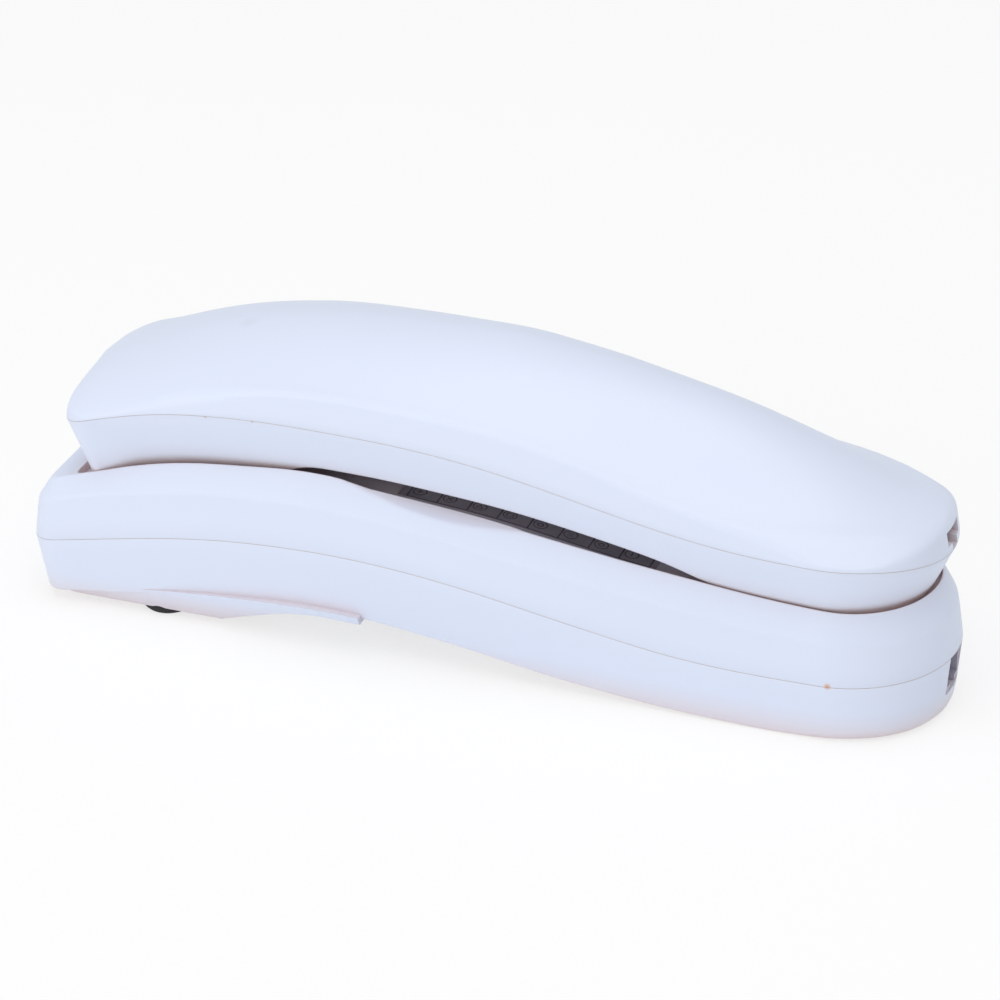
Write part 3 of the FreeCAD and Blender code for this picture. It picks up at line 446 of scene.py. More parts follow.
def lofted(name, columns, seam_at=None):
    """Closed skin through columns of points, one for each plan point, with its seam's points marked."""
    n = len(columns[0])
    count = len(columns)
    faces = []
    for i in range(count):
        a = i * n
        b = ((i + 1) % count) * n
        faces += [(a + k, b + k, b + k + 1, a + k + 1) for k in range(n - 1)]
    obj = mesh_object(name, [p for column in columns for p in column], faces)
    if seam_at:
        marks = obj.data.attributes.new("seam", "FLOAT", "POINT")
        for i in range(count):
            marks.data[i * n + seam_at].value = 1.0
            marks.data[i * n + seam_at + 1].value = 1.0
    normals_out(obj.data, merge=True)
    smooth_but_edges(obj.data)
    return obj


def shell(name, made):
    """Skin of a shell from its columns, each of which comes with the place of its seam."""
    return lofted(name, [column for column, seam_at in made], made[0][1])


def pan_column(point, plan, seam_line, bottom, slope, r, steps, clear=0.0):
    """Column of a shell below its seam: bottom, rounded edge, side wall, seam and the inside.

    With clear, its end on the centre line keeps that far from the foot of the leaning end wall.
    """
    px, py = point[:2]
    seam = seam_line(px)
    wall = drafted(point, seam, slope, -1)

    def foot(inset, lift):
        return meeting(lambda h: wall(h, inset), lambda x, y: bottom(x) + lift, *FOOT_SEARCH)

    def past(x, spine):
        return max(spine, x + clear) if clear and px < 0.0 else spine

    edge = foot(0.0, 0.0)
    sx = past(edge[0], spine_x(px, py, *plan))
    dx = sx - edge[0]
    dy = -edge[1]
    t_in = min(ROUND_LIMIT, r / (hypot(dx, dy) or 1.0))

    def floor(t):
        x = edge[0] + dx * t
        return (x, edge[1] + dy * t, bottom(x))

    a = wall(seam - edge[2] - r)
    column = [floor(1.0 - i / FLOOR_STEPS * (1.0 - t_in)) for i in range(FLOOR_STEPS)]
    column += rounded(floor(t_in), edge, a, steps)
    h0 = seam - a[2]
    column += [wall(h0 * ((steps - i) / steps)) for i in range(1, steps)]
    seam_at = add_seam(column, wall)
    deep = foot(WALL, WALL)
    column.append(deep)
    column += to_spine(deep, past(deep[0], sx), lambda x, y: bottom(x) + WALL, INSIDE_STEPS)
    return column, seam_at


# handset

def back_column(point):
    """Column of the handset back: crown, crease, side wall, seam and the inside."""
    px, py = point[:2]
    seam = hand_seam(px)
    wall = drafted(point, seam, TAN_BACK, 1)

    def crease(inset, drop):
        return meeting(lambda h: wall(h, inset), lambda x, y: crown_height(x, y) - drop, *CREASE_SEARCH)

    sx = spine_x(px, py, *HAND_PLAN)
    edge = crease(0.0, 0.0)
    dx = sx - edge[0]
    dy = -edge[1]
    softness = CREASE_R + CREASE_R_EAR * (1.0 - ease(px, *CREASE_R_SPAN))
    r = min(softness, 0.5 * (edge[2] - seam))
    t_in = min(ROUND_LIMIT, r / (hypot(dx, dy) or 1.0))

    def roof(t):
        x = edge[0] + dx * t
        y = edge[1] + dy * t
        return (x, y, crown_height(x, y))

    a = wall(edge[2] - seam - r)
    column = []
    for i in range(ROOF_STEPS):
        t = 1.0 - (i / ROOF_STEPS)
        column.append(roof(t_in + (1.0 - t_in) * (t ** ROOF_SPREAD)))
    column += rounded(roof(t_in), edge, a, CREASE_STEPS)
    h0 = a[2] - seam
    column += [wall(h0 * s) for s in BACK_WALL_SHARES]
    seam_at = add_seam(column, wall)
    top = crease(WALL, BACK_ROOF)
    column.append(top)
    column += to_spine(top, sx, lambda x, y: crown_height(x, y) - BACK_ROOF, BACK_INSIDE_STEPS)
    return column, seam_at


def face_column(point):
    slope = lerp(TAN_FACE_END, TAN_FACE, ease(point[0], *FACE_END_SPAN))
    return pan_column(point, HAND_PLAN, hand_seam, face_bottom, slope, FACE_EDGE_R, FACE_STEPS, SPINE_CLEAR)


hand_plan = outline(HAND_PLAN, side_run(*HAND_PLAN))
handset_back = shell("handset_back_shell", [back_column(p) for p in hand_plan])
handset_face = shell("handset_face_shell", [face_column(p) for p in hand_plan])


# base

def trough_share(x, ny):
    """1 where the well is a trough between its long sides, 0 past its ends."""
    if abs(ny) < SIDE_FACING:
        return 0.0
    begun = ease(x, TROUGH_START - TROUGH_BLEND, TROUGH_START + TROUGH_BLEND)
    return begun * (1.0 - ease(x, TROUGH_END - TROUGH_BLEND, TROUGH_END + TROUGH_BLEND))


def roof_line(x):
    """Inside of the upper cover, lower at the earpiece end."""
    return well_floor(x) - WALL - ROOF_DROP * (1.0 - ease(x, *ROOF_DROP_SPAN))


def upper_column(plan_point, well_point):
    """Column of the upper cover: well, sloping rim, shoulder, side wall, seam and the inside."""
    px, py, nx, ny = plan_point
    wx, wy, mx, my = well_point
    seam = base_seam(px)
    shoulder = base_shoulder(px)
    wall = drafted(plan_point, seam, TAN_UPPER, 1)

    def ring(inset, z):
        return (px - nx * inset, py - ny * inset, z)

    def well_ring(inset, z):
        return (wx - mx * inset, wy - my * inset, z)

    rise = rim_top(px - nx * (SHOULDER_INSET + RIM_WIDTH)) - shoulder
    on_side = abs(ny) > SIDE_FACING and SCOOP_START < px < SCOOP_END
    dip = scoop_dip(px) if on_side else 0.0
    p_crease = ring(SHOULDER_INSET + RIM_WIDTH, shoulder + rise)
    edge_z = rim_top(wx)
    if dip > 0.0:
        k = rise / RIM_WIDTH
        up = (rise - dip + SCOOP_SLOPE * (SHOULDER_INSET - RIM_INSET)) / (k - SCOOP_SLOPE)
        up = min(up, RIM_WIDTH)
        p_crease = ring(SHOULDER_INSET + up, shoulder + up * k)
        edge_z = rim_top(px) - dip
    floor_z = well_floor(wx)
    in_trough = trough_share(wx, my)
    run = BASE_R - RIM_INSET - TROUGH_HALF
    side_top = floor_z + run * TROUGH_SIDE_RISE * in_trough
    if dip > 0.0 and side_top > edge_z:
        s = (side_top - edge_z) / (SCOOP_SLOPE + TROUGH_SIDE_RISE)
        p_edge = well_ring(s, edge_z + SCOOP_SLOPE * s)
        p_step = well_ring(s + STEP_RUN, edge_z + SCOOP_SLOPE * s - STEP_RUN * TROUGH_SIDE_RISE)
    else:
        p_edge = well_ring(0.0, edge_z)
        low = min(side_top, edge_z - STEP_DROP)
        p_step = well_ring(TAN_WELL * (edge_z - low), low)
    depth = TAN_WELL * (edge_z - floor_z)
    p_floor = well_ring(lerp(depth, run, in_trough), floor_z)
    sx = spine_x(wx, wy, *WELL_PLAN)

    def floor(t):
        x = lerp(p_floor[0], sx, t)
        return (x, p_floor[1] * (1.0 - t), well_floor(x))

    column = [floor(1.0 - i / WELL_STEPS) for i in range(WELL_STEPS)]
    profile = [floor(WELL_ROUND_FROM), p_floor, p_step, p_edge, p_crease,
               ring(SHOULDER_INSET, shoulder), wall(SHOULDER_ROUND_FROM)]
    for i, (r, steps) in enumerate(RIM_ROUNDINGS):
        column += corner_round(profile[i], profile[i + 1], profile[i + 2], r, steps)
    h0 = shoulder - seam - RIM_ROUNDINGS[-1][0]
    column += [wall(h0 * s) for s in UPPER_WALL_SHARES]
    seam_at = add_seam(column, wall)
    top = wall(roof_line(px - nx * WALL) - seam, WALL)
    column.append(top)
    column += to_spine(top, sx, lambda x, y: roof_line(x), INSIDE_STEPS)
    return column, seam_at


def lower_column(point):
    slope = lerp(TAN_LOWER, TAN_LOWER_NOSE, ease(point[0], *LOWER_NOSE_SPAN))
    r = LOWER_EDGE_R + LOWER_EDGE_R_NOSE * ease(point[0], *LOWER_EDGE_SPAN)
    return pan_column(point, BASE_PLAN, base_seam, base_bottom, slope, r, LOWER_STEPS)


def well_x(x, first):
    """Place on the well's side for a place on the base's side, drawn together at the earpiece end."""
    if x > WELL_EVEN_FROM:
        return x
    return lerp(WELL_PLAN[0] + WELL_CORNER, WELL_EVEN_FROM, (x - first) / (WELL_EVEN_FROM - first))


base_side_x = side_run(*BASE_PLAN)
base_plan = outline(BASE_PLAN, base_side_x)
well_plan = outline(WELL_PLAN, [well_x(x, base_side_x[0]) for x in base_side_x])
base_upper = shell("base_upper_cover", [upper_column(p, q) for p, q in zip(base_plan, well_plan)])
base_lower = shell("base_lower_cover", [lower_column(p) for p in base_plan])


# plinth under the earpiece end: flat foot, flared sides, concave arch toward the middle, square end

PLINTH_X0 = -106.5
PLINTH_X1 = -25.5
PLINTH_HALF = 21.0
PLINTH_R = 7.0
PLINTH_FLARE = 0.45
PLINTH_FOOT = 1.5
PLINTH_SINK = 1.2
PLINTH_STEPS = 40
PLINTH_EDGE_R = 0.4
PLINTH_EDGE_FROM = 0.8
ARCH_START = -62.4


def plinth_low(x):
    return PLINTH_FOOT if x < ARCH_START else max(PLINTH_FOOT, plinth_arch(x))


def plinth_top(x):
    return base_bottom(x) + PLINTH_SINK


def plinth_column(x, y, nx, ny):
    """Column of the plinth, from the middle of its underside to the middle of its top."""
    def flared(z):
        out = PLINTH_FLARE * (z - PLINTH_FOOT)
        return (x + nx * out, y + ny * out, z)

    foot = flared(plinth_low(x))
    head = flared(plinth_top(x))
    sx = max(x, PLINTH_X0 + PLINTH_R)
    mid = (sx, 0.0, plinth_low(sx))
    cap = (sx, 0.0, plinth_top(sx))
    inner = tuple(lerp(mid[k], foot[k], PLINTH_EDGE_FROM) for k in range(3))
    return [mid, inner] + corner_round(inner, foot, head, PLINTH_EDGE_R, 3) + [head, cap]


def plinth_plan():
    xa = PLINTH_X0 + PLINTH_R
    ya = PLINTH_HALF - PLINTH_R
    xs = [lerp(xa, PLINTH_X1, i / PLINTH_STEPS) for i in range(PLINTH_STEPS + 1)]
    plan = [(x, -PLINTH_HALF, 0.0, -1.0) for x in xs]
    plan += [(x, PLINTH_HALF, 0.0, 1.0) for x in reversed(xs)]
    plan += arc(xa, ya, PLINTH_R, 90.0, 90.0, CORNER_STEPS, first=1)
    return plan + arc(xa, -ya, PLINTH_R, 180.0, 90.0, CORNER_STEPS)


plinth = lofted("base_plinth", [plinth_column(*p) for p in plinth_plan()])


# closed tools for cutting the openings, each a pair of point and face lists in millimetres

def block(x0, x1, y0, y1, z0, z1):
    verts = [(x, y, z) for x in (x0, x1) for y in (y0, y1) for z in (z0, z1)]
    faces = [(0, 1, 3, 2), (4, 6, 7, 5), (0, 4, 5, 1), (2, 3, 7, 6), (0, 2, 6, 4), (1, 5, 7, 3)]
    return verts, faces


def prism(plan, z0, z1):
    """Upright prism over a closed plan of (x, y)."""
    n = len(plan)
    verts = [(x, y, z0) for x, y in plan] + [(x, y, z1) for x, y in plan]
    faces = [tuple(range(n - 1, -1, -1)), tuple(range(n, 2 * n))]
    faces += [(i, (i + 1) % n, n + (i + 1) % n, n + i) for i in range(n)]
    return verts, faces


def circle(x, y, r, n):
    turn = 2.0 * pi / n
    return [(x + r * cos(i * turn), y + r * sin(i * turn)) for i in range(n)]


def drum(r, x, y, z0, z1, n=40):
    return prism(circle(x, y, r, n), z0, z1)


def rounded_plan(length, width, r, n=6):
    plan = []
    for sx, sy, start in ((1, 1, 0.0), (-1, 1, 90.0), (-1, -1, 180.0), (1, -1, 270.0)):
        for i in range(n + 1):
            a = radians(start + 90.0 * i / n)
            plan.append((sx * (length / 2.0 - r) + r * cos(a), sy * (width / 2.0 - r) + r * sin(a)))
    return plan


def along(line, dz0, dz1, x0, x1, half, n=24):
    """Slab that follows a side view line between two offsets from it."""
    verts = []
    for i in range(n + 1):
        x = lerp(x0, x1, i / n)
        z = line(x)
        verts += [(x, -half, z + dz0), (x, half, z + dz0), (x, half, z + dz1), (x, -half, z + dz1)]
    faces = [(3, 2, 1, 0), (4 * n, 4 * n + 1, 4 * n + 2, 4 * n + 3)]
    for i in range(n):
        a = 4 * i
        faces += [(a + k, a + (k + 1) % 4, a + 4 + (k + 1) % 4, a + 4 + k) for k in range(4)]
    return verts, faces


def face_place(x, y):
    """Puts offsets along, across and square to the handset face in space, from its point at (x, y)."""
    tilt = atan2(face_bottom(x + 1.0) - face_bottom(x - 1.0), 2.0)
    c = cos(tilt)
    s = sin(tilt)
    z = face_bottom(x)
    return lambda px, py, pz: (x + px * c - pz * s, y + py, z + px * s + pz * c)


def joined(shapes):
    """Several pairs of point and face lists as one."""
    points = []
    faces = []
    for some, loops in shapes:
        faces += [tuple(i + len(points) for i in loop) for loop in loops]
        points += some
    return points, faces


def gathered(name, tools):
    """One object of several tools."""
    obj = mesh_object(name, *joined(tools))
    normals_out(obj.data)
    return obj


def worked(target, tools, way):
    """Cut tools out of a shell, or join them to it, and keep the result as its mesh."""
    tool = tools if isinstance(tools, bpy.types.Object) else gathered(target.name + "_tool", tools)
    change = target.modifiers.new("work", "BOOLEAN")
    change.operation = way
    change.solver = "EXACT"
    change.use_self = way == "DIFFERENCE"
    change.object = tool
    bpy.context.view_layer.update()
    graph = bpy.context.evaluated_depsgraph_get()
    mesh = bpy.data.meshes.new_from_object(target.evaluated_get(graph))
    target.modifiers.remove(change)
    target.data = mesh
    bpy.data.objects.remove(tool)
    smooth_but_edges(mesh)


# openings in the handset: keys, sound holes, and the plug's wide way over its narrow latch step;
# a way, slot or pocket is a box (x0, x1, y0, y1, z0, z1)

KEY_PITCH_X = 15.0
KEY_PITCH_Y = 11.5
KEY_X = 3.5
KEY_L = 8.4
KEY_W = 9.0
KEY_PROUD = 1.6
KEY_HOLE_CLEAR = 0.6
KEY_HOLE_R = 1.9
KEY_HOLE_Z = (-3.0, 3.4)
RECEIVER_X = -76.0
RECEIVER_Z = (25.0, 37.0)
RECEIVER_RINGS = ((3.5, 6), (7.0, 12))
MICROPHONE_X = 86.0
MICROPHONE_Z = (26.0, 34.0)
MICROPHONE_PITCH = 3.2
SOUND_R = 0.8
SMALL_SIDES = 20
PLUG_WAY = (103.7, 112.5, -4.1, 4.1, 43.4, 46.8)
LATCH_WAY = (103.7, 112.5, -1.8, 1.8, 41.7, 43.5)

key_names = ["1", "2", "3", "4", "5", "6", "7", "8", "9", "star", "0", "hash", "mem", "redial", "flash"]
key_places = [(KEY_X + (row - 2) * KEY_PITCH_X, (1 - col) * KEY_PITCH_Y)
              for row in range(5) for col in range(3)]


def key_hole(x, y):
    """Tool for one key's hole, square to the face."""
    plan = rounded_plan(KEY_L + KEY_HOLE_CLEAR, KEY_W + KEY_HOLE_CLEAR, KEY_HOLE_R)
    points, faces = prism(plan, *KEY_HOLE_Z)
    place = face_place(x, y)
    return [place(*p) for p in points], faces


sound_places = [(RECEIVER_X, 0.0, RECEIVER_Z)]
for ring_r, count in RECEIVER_RINGS:
    sound_places += [(x, y, RECEIVER_Z) for x, y in circle(RECEIVER_X, 0.0, ring_r, count)]
sound_places += [(MICROPHONE_X, i * MICROPHONE_PITCH, MICROPHONE_Z) for i in (-1, 0, 1)]
worked(handset_face, [key_hole(x, y) for x, y in key_places]
       + [drum(SOUND_R, x, y, z0, z1, SMALL_SIDES) for x, y, (z0, z1) in sound_places], "DIFFERENCE")
worked(handset_back, [block(*PLUG_WAY)], "DIFFERENCE")
worked(handset_back, [block(*LATCH_WAY)], "DIFFERENCE")

# openings in the upper cover: the card's bed and the plunger's hole

CARD_X0 = -19.55
CARD_X1 = 42.95
CARD_CLEAR = 0.1
CARD_BED_HALF = 13.6
CARD_BED_Z = (-0.9, 3.0)
PLUNGER_X = 70.0
PLUNGER_HOLE_R = 3.65
PLUNGER_HOLE_Z = (15.0, 45.0)
worked(base_upper, [along(well_floor, *CARD_BED_Z, CARD_X0 - CARD_CLEAR, CARD_X1 + CARD_CLEAR, CARD_BED_HALF),
                    drum(PLUNGER_HOLE_R, PLUNGER_X, 0.0, *PLUNGER_HOLE_Z)], "DIFFERENCE")

# openings in the lower cover; cuts that meet end at slightly different depths

CORD_WAY = (98.0, 116.0, -5.1, 5.1, 5.9, 16.9)
KNOB_SLOT = (-95.8, -87.2, 18.0, 28.0, 11.2, 14.8)
LINE_POCKET = (-25.5, -7.5, -7.5, 7.5, -1.0, 20.4)
KEYHOLES_X = (-67.0, 33.0)
KEYHOLE_HEAD_R = 4.6
KEYHOLE_HEAD_X = 5.6
KEYHOLE_HEAD_Z = (-1.0, 6.5)
KEYHOLE_SLOT_Z = (-1.2, 6.4)
KEYHOLE_END_R = 2.2
KEYHOLE_END_X = -8.0
KEYHOLE_END_Z = (-1.4, 6.3)
FOOT_X = -78.5
FOOT_Y = 15.0
FOOT_BED_R = 6.3
FOOT_BED_TOP = 2.4
RINGER_X = -67.0
RINGER_HOLES_R = 8.6
RINGER_HOLE_R = 0.9
RINGER_HOLES = (60.0, 90.0, 120.0, 240.0, 270.0, 300.0)
RINGER_Z = (0.0, 8.0)
SCREW_PLACES = [(27.0, -14.0), (27.0, 14.0), (87.0, -14.0), (87.0, 14.0)]
SCREW_BORE_R = 3.3
SCREW_SEAT = 1.3

worked(base_lower, plinth, "UNION")
lower_tools = [block(*CORD_WAY), block(*KNOB_SLOT), block(*LINE_POCKET)]
for x in KEYHOLES_X:
    head_x = x + KEYHOLE_HEAD_X
    end_x = x + KEYHOLE_END_X
    lower_tools += [drum(KEYHOLE_HEAD_R, head_x, 0.0, *KEYHOLE_HEAD_Z),
                    block(end_x, head_x, -KEYHOLE_END_R, KEYHOLE_END_R, *KEYHOLE_SLOT_Z),
                    drum(KEYHOLE_END_R, end_x, 0.0, *KEYHOLE_END_Z)]
lower_tools += [drum(FOOT_BED_R, FOOT_X, side * FOOT_Y, 0.0, FOOT_BED_TOP) for side in (-1, 1)]
for a in [radians(degrees) for degrees in RINGER_HOLES]:
    x = RINGER_X + RINGER_HOLES_R * cos(a)
    lower_tools.append(drum(RINGER_HOLE_R, x, RINGER_HOLES_R * sin(a), *RINGER_Z, SMALL_SIDES))
lower_tools += [drum(SCREW_BORE_R, x, y, -1.0, base_bottom(x) + SCREW_SEAT) for x, y in SCREW_PLACES]
worked(base_lower, lower_tools, "DIFFERENCE")


def seam_only(obj, line):
    """Keep the seam mark on the seam itself."""
    mark = obj.data.attributes["seam"]
    for v in obj.data.vertices:
        if abs(v.co.z / MM - line(v.co.x / MM)) > SEAM_REACH:
            mark.data[v.index].value = 0.0


for piece, line in ((handset_back, hand_seam), (handset_face, hand_seam), (base_upper, base_seam),
                    (base_lower, base_seam)):
    seam_only(piece, line)


# small parts made for the scene only

SCREW_R = 2.8
SCREW_FACE = 0.9
SCREW_SUNK = 0.4
CROSS = 1.7
CROSS_THIN = 0.3
CROSS_Z = ((-1.4, -0.3), (-1.5, -0.35))
CONTACTS = 4
CONTACT_HALF = 0.2
CONTACT_THICK = 0.3


def screw(name, x, y):
    """Recessed pan-head screw with a cross recess, seen from below."""
    top = base_bottom(x) + SCREW_SEAT
    obj = gathered(name, [drum(SCREW_R, x, y, top - SCREW_FACE, top + SCREW_SUNK, 32)])
    cross = []
    for dx, dy, (z0, z1) in zip((CROSS, CROSS_THIN), (CROSS_THIN, CROSS), CROSS_Z):
        cross.append(block(x - dx, x + dx, y - dy, y + dy, top + z0, top + z1))
    worked(obj, cross, "DIFFERENCE")
    return obj


def contacts(name, x0, x1, y_half, z):
    """Row of thin spring contacts in a socket."""
    wires = []
    for i in range(CONTACTS):
        y = -y_half + i * (2.0 * y_half / (CONTACTS - 1))
        wires.append(block(x0, x1, y - CONTACT_HALF, y + CONTACT_HALF, z, z + CONTACT_THICK))
    return gathered(name, wires)


def ring_plan(cx, cy, r_out, r_in, n=28):
    """Flat ring as quads: outer and inner run of points."""
    loops = [(i, (i + 1) % n, n + (i + 1) % n, n + i) for i in range(n)]
    return circle(cx, cy, r_out, n) + circle(cx, cy, r_in, n), loops


def bar_plan(x0, y0, x1, y1, width):
    """Straight stroke from one point to the other."""
    dx = x1 - x0
    dy = y1 - y0
    n = hypot(dx, dy)
    ox = -dy / n * width / 2.0
    oy = dx / n * width / 2.0
    return [(x0 + ox, y0 + oy), (x0 - ox, y0 - oy), (x1 - ox, y1 - oy), (x1 + ox, y1 + oy)], [(0, 1, 2, 3)]


def run_plan(points, width):
    """Joined strokes through the points, closed."""
    return [bar_plan(*a, *b, width) for a, b in zip(points, points[1:] + points[:1])]


def inked(name, shapes, place):
    """Flat print: every shape's points are put in space by place(u, v)."""
    points, faces = joined(shapes)
    return mesh_object(name, [place(u, v) for u, v in points], faces)


CARD_ROWS = 8
CARD_PITCH = 7.35
CARD_HALF = 12.2
CARD_DROP = 0.59
RULE = 0.34
BORDER = 0.30
BORDER_PIECES = 3
SIGN_X = -1.5
SIGN_Y = -9.2
SIGN_HALF = 0.75
SIGN_RING = (1.7, 1.45)
STROKE = 0.24
OUTLINE = 0.22
FIELD = (5.4, 17.2, 1.2, 4)
FIELD_X = 0.2
FIELD_Y = 2.6
KEY_PRINT_LIFT = 0.02


def card_print():
    """Eight ruled rows, each with a ringed sign and a name field, inside a border."""
    shapes = []
    x0 = (CARD_X0 + CARD_X1) / 2.0 - CARD_ROWS * CARD_PITCH / 2.0
    for i in range(CARD_ROWS + 1):
        x = x0 + i * CARD_PITCH
        shapes.append(bar_plan(x, -CARD_HALF, x, CARD_HALF, RULE))
    for y in (-CARD_HALF, CARD_HALF):
        for i in range(CARD_ROWS * BORDER_PIECES):
            x = x0 + i * CARD_PITCH / BORDER_PIECES
            shapes.append(bar_plan(x, y, x + CARD_PITCH / BORDER_PIECES, y, BORDER))
    for i in range(CARD_ROWS):
        middle = x0 + (i + 0.5) * CARD_PITCH
        shapes.append(ring_plan(middle + SIGN_X, SIGN_Y, *SIGN_RING))
        shapes += sign_plan(i, middle + SIGN_X, SIGN_Y)
        field = [(x + middle + FIELD_X, y + FIELD_Y) for x, y in rounded_plan(*FIELD)]
        shapes += run_plan(field, OUTLINE)
    return inked("card_print", shapes, lambda u, v: (u, v, well_floor(u) - CARD_DROP))


def sign_plan(i, cx, cy):
    """Small plain sign of one card row, a different one for each."""
    x0 = cx - SIGN_HALF
    x1 = cx + SIGN_HALF
    y0 = cy - SIGN_HALF
    y1 = cy + SIGN_HALF
    signs = [
        [bar_plan(x0, cy, x1, cy, STROKE), bar_plan(cx, y0, cx, y1, STROKE)],
        [bar_plan(x0, y0, x1, y1, STROKE), bar_plan(x0, y1, x1, y0, STROKE)],
        run_plan([(x0, y0), (x1, y0), (cx, y1)], OUTLINE),
        run_plan([(x0, y0), (x1, y0), (x1, y1), (x0, y1)], OUTLINE),
        [ring_plan(cx, cy, 0.8, 0.5, 16)],
        [bar_plan(x0, cy - 0.4, x1, cy - 0.4, STROKE), bar_plan(x0, cy + 0.4, x1, cy + 0.4, STROKE)],
        run_plan([(x0, cy), (cx, y0), (x1, cy), (cx, y1)], OUTLINE),
        [bar_plan(cx, y0, cx, y1, 0.3)],
    ]
    return signs[i]


def figure_plan(text, size):
    """Plain figure in the built-in lettering, as points and faces."""
    curve = bpy.data.curves.new("figure", "FONT")
    curve.body = text
    curve.size = size
    curve.align_x = "CENTER"
    curve.align_y = "CENTER"
    obj = in_scene("figure", curve)
    bpy.context.view_layer.update()
    mesh = bpy.data.meshes.new_from_object(obj.evaluated_get(bpy.context.evaluated_depsgraph_get()))
    points = [(v.co.x, v.co.y) for v in mesh.vertices]
    faces = [tuple(p.vertices) for p in mesh.polygons]
    bpy.data.objects.remove(obj)
    bpy.data.meshes.remove(mesh)
    return [(points, faces)]


FIGURE_SIZE = 5.6
MARK_HALF = 1.7
BOLD = 0.5
MEDIUM = 0.45


def key_mark(name):
    """Figure or plain sign of a key, in its own (right, up) millimetres."""
    if name.isdigit():
        return figure_plan(name, FIGURE_SIZE)
    if name == "star":
        turns = [radians(a) for a in (90.0, 30.0, -30.0)]
        tips = [(MARK_HALF * cos(a), MARK_HALF * sin(a)) for a in turns]
        return [bar_plan(-x, -y, x, y, BOLD) for x, y in tips]
    if name == "hash":
        return [bar_plan(-0.7, -MARK_HALF, -0.3, MARK_HALF, MEDIUM),
                bar_plan(0.5, -MARK_HALF, 0.9, MARK_HALF, MEDIUM),
                bar_plan(-MARK_HALF, -0.6, MARK_HALF, -0.6, MEDIUM), bar_plan(-1.6, 0.6, 1.8, 0.6, MEDIUM)]
    if name == "mem":
        return [ring_plan(0.0, 0.0, 1.6, 1.15), ring_plan(0.0, 0.0, 0.5, 0.05, 16)]
    if name == "redial":
        return [bar_plan(-1.5, 1.3, -0.2, 0.0, MEDIUM), bar_plan(-0.2, 0.0, -1.5, -1.3, MEDIUM),
                bar_plan(0.2, 1.3, 1.5, 0.0, MEDIUM), bar_plan(1.5, 0.0, 0.2, -1.3, MEDIUM)]
    return [bar_plan(-MARK_HALF, -0.5, MARK_HALF, -0.5, BOLD), bar_plan(-0.9, 0.8, 0.9, 0.8, BOLD)]


def key_print(name, x, y):
    """A key's mark on its outer face; right is -Y and up is -X as the face is read."""
    place = face_place(x, y)
    return inked("print_" + name, key_mark(name), lambda u, v: place(-v, -u, -KEY_PROUD - KEY_PRINT_LIFT))


# shader nodes

FLOAT = "NodeSocketFloat"
VECTOR = "NodeSocketVector"
CLOUD_DETAIL = 3.0
GRAIN_DETAIL = 2.0
GRAIN_HEIGHT = 0.0001
SHELTER_SAMPLES = 6


def srgb(rgb):
    def lin(c):
        c /= 255.0
        return c / 12.92 if c <= 0.04045 else ((c + 0.055) / 1.055) ** 2.4
    return tuple(lin(c) for c in rgb) + (1.0,)


def feed(tree, socket, value):
    """Link an output to a socket, or set the socket's own value."""
    if isinstance(value, bpy.types.NodeSocket):
        tree.links.new(value, socket)
    else:
        socket.default_value = value


def placed(tree, kind, inputs, **settings):
    """Outputs of a new shader node with these settings; its inputs are fed by name or number."""
    node = tree.nodes.new("ShaderNode" + kind)
    for name, value in settings.items():
        setattr(node, name, value)
    for name, value in inputs.items():
        feed(tree, node.inputs[name], value)
    return node.outputs


def maths(tree, operation, *values, clamp=False):
    return placed(tree, "Math", dict(enumerate(values)), operation=operation, use_clamp=clamp)[0]


def mixed(tree, amount, a, b):
    """Colour from a, where the amount is 0, to b, where it is 1."""
    return placed(tree, "Mix", {0: amount, 6: a, 7: b}, data_type="RGBA")[2]


def group_tree(name, inputs, outputs):
    """Empty shader group with named inputs (name, kind, default) and outputs (name, kind)."""
    tree = bpy.data.node_groups.new(name, "ShaderNodeTree")
    for label, kind, default in inputs:
        socket = tree.interface.new_socket(name=label, in_out="INPUT", socket_type=kind)
        socket.default_value = default
    for label, kind in outputs:
        tree.interface.new_socket(name=label, in_out="OUTPUT", socket_type=kind)
    return tree, tree.nodes.new("NodeGroupInput").outputs, tree.nodes.new("NodeGroupOutput").inputs


def fine_grain_group():
    """Moulding grain: a slow cloud that shifts colour and gloss, and a fine bump."""
    tree, given, out = group_tree(
        "fine_grain",
        [("Cloud Scale", FLOAT, 30.0), ("Grain Scale", FLOAT, 2500.0), ("Bump", FLOAT, 0.1),
         ("Gloss", FLOAT, 0.4), ("Gloss Change", FLOAT, 0.05)],
        [("Cloud", FLOAT), ("Roughness", FLOAT), ("Normal", VECTOR)])
    where = placed(tree, "TexCoord", {})["Object"]
    cloud = placed(tree, "TexNoise",
                   {"Vector": where, "Scale": given["Cloud Scale"], "Detail": CLOUD_DETAIL})["Fac"]
    grain = placed(tree, "TexNoise",
                   {"Vector": where, "Scale": given["Grain Scale"], "Detail": GRAIN_DETAIL})["Fac"]
    bump = placed(tree, "Bump",
                  {"Strength": given["Bump"], "Distance": GRAIN_HEIGHT, "Height": grain})
    feed(tree, out["Cloud"], cloud)
    feed(tree, out["Roughness"], maths(tree, "MULTIPLY_ADD", cloud, given["Gloss Change"], given["Gloss"]))
    feed(tree, out["Normal"], bump["Normal"])
    return tree


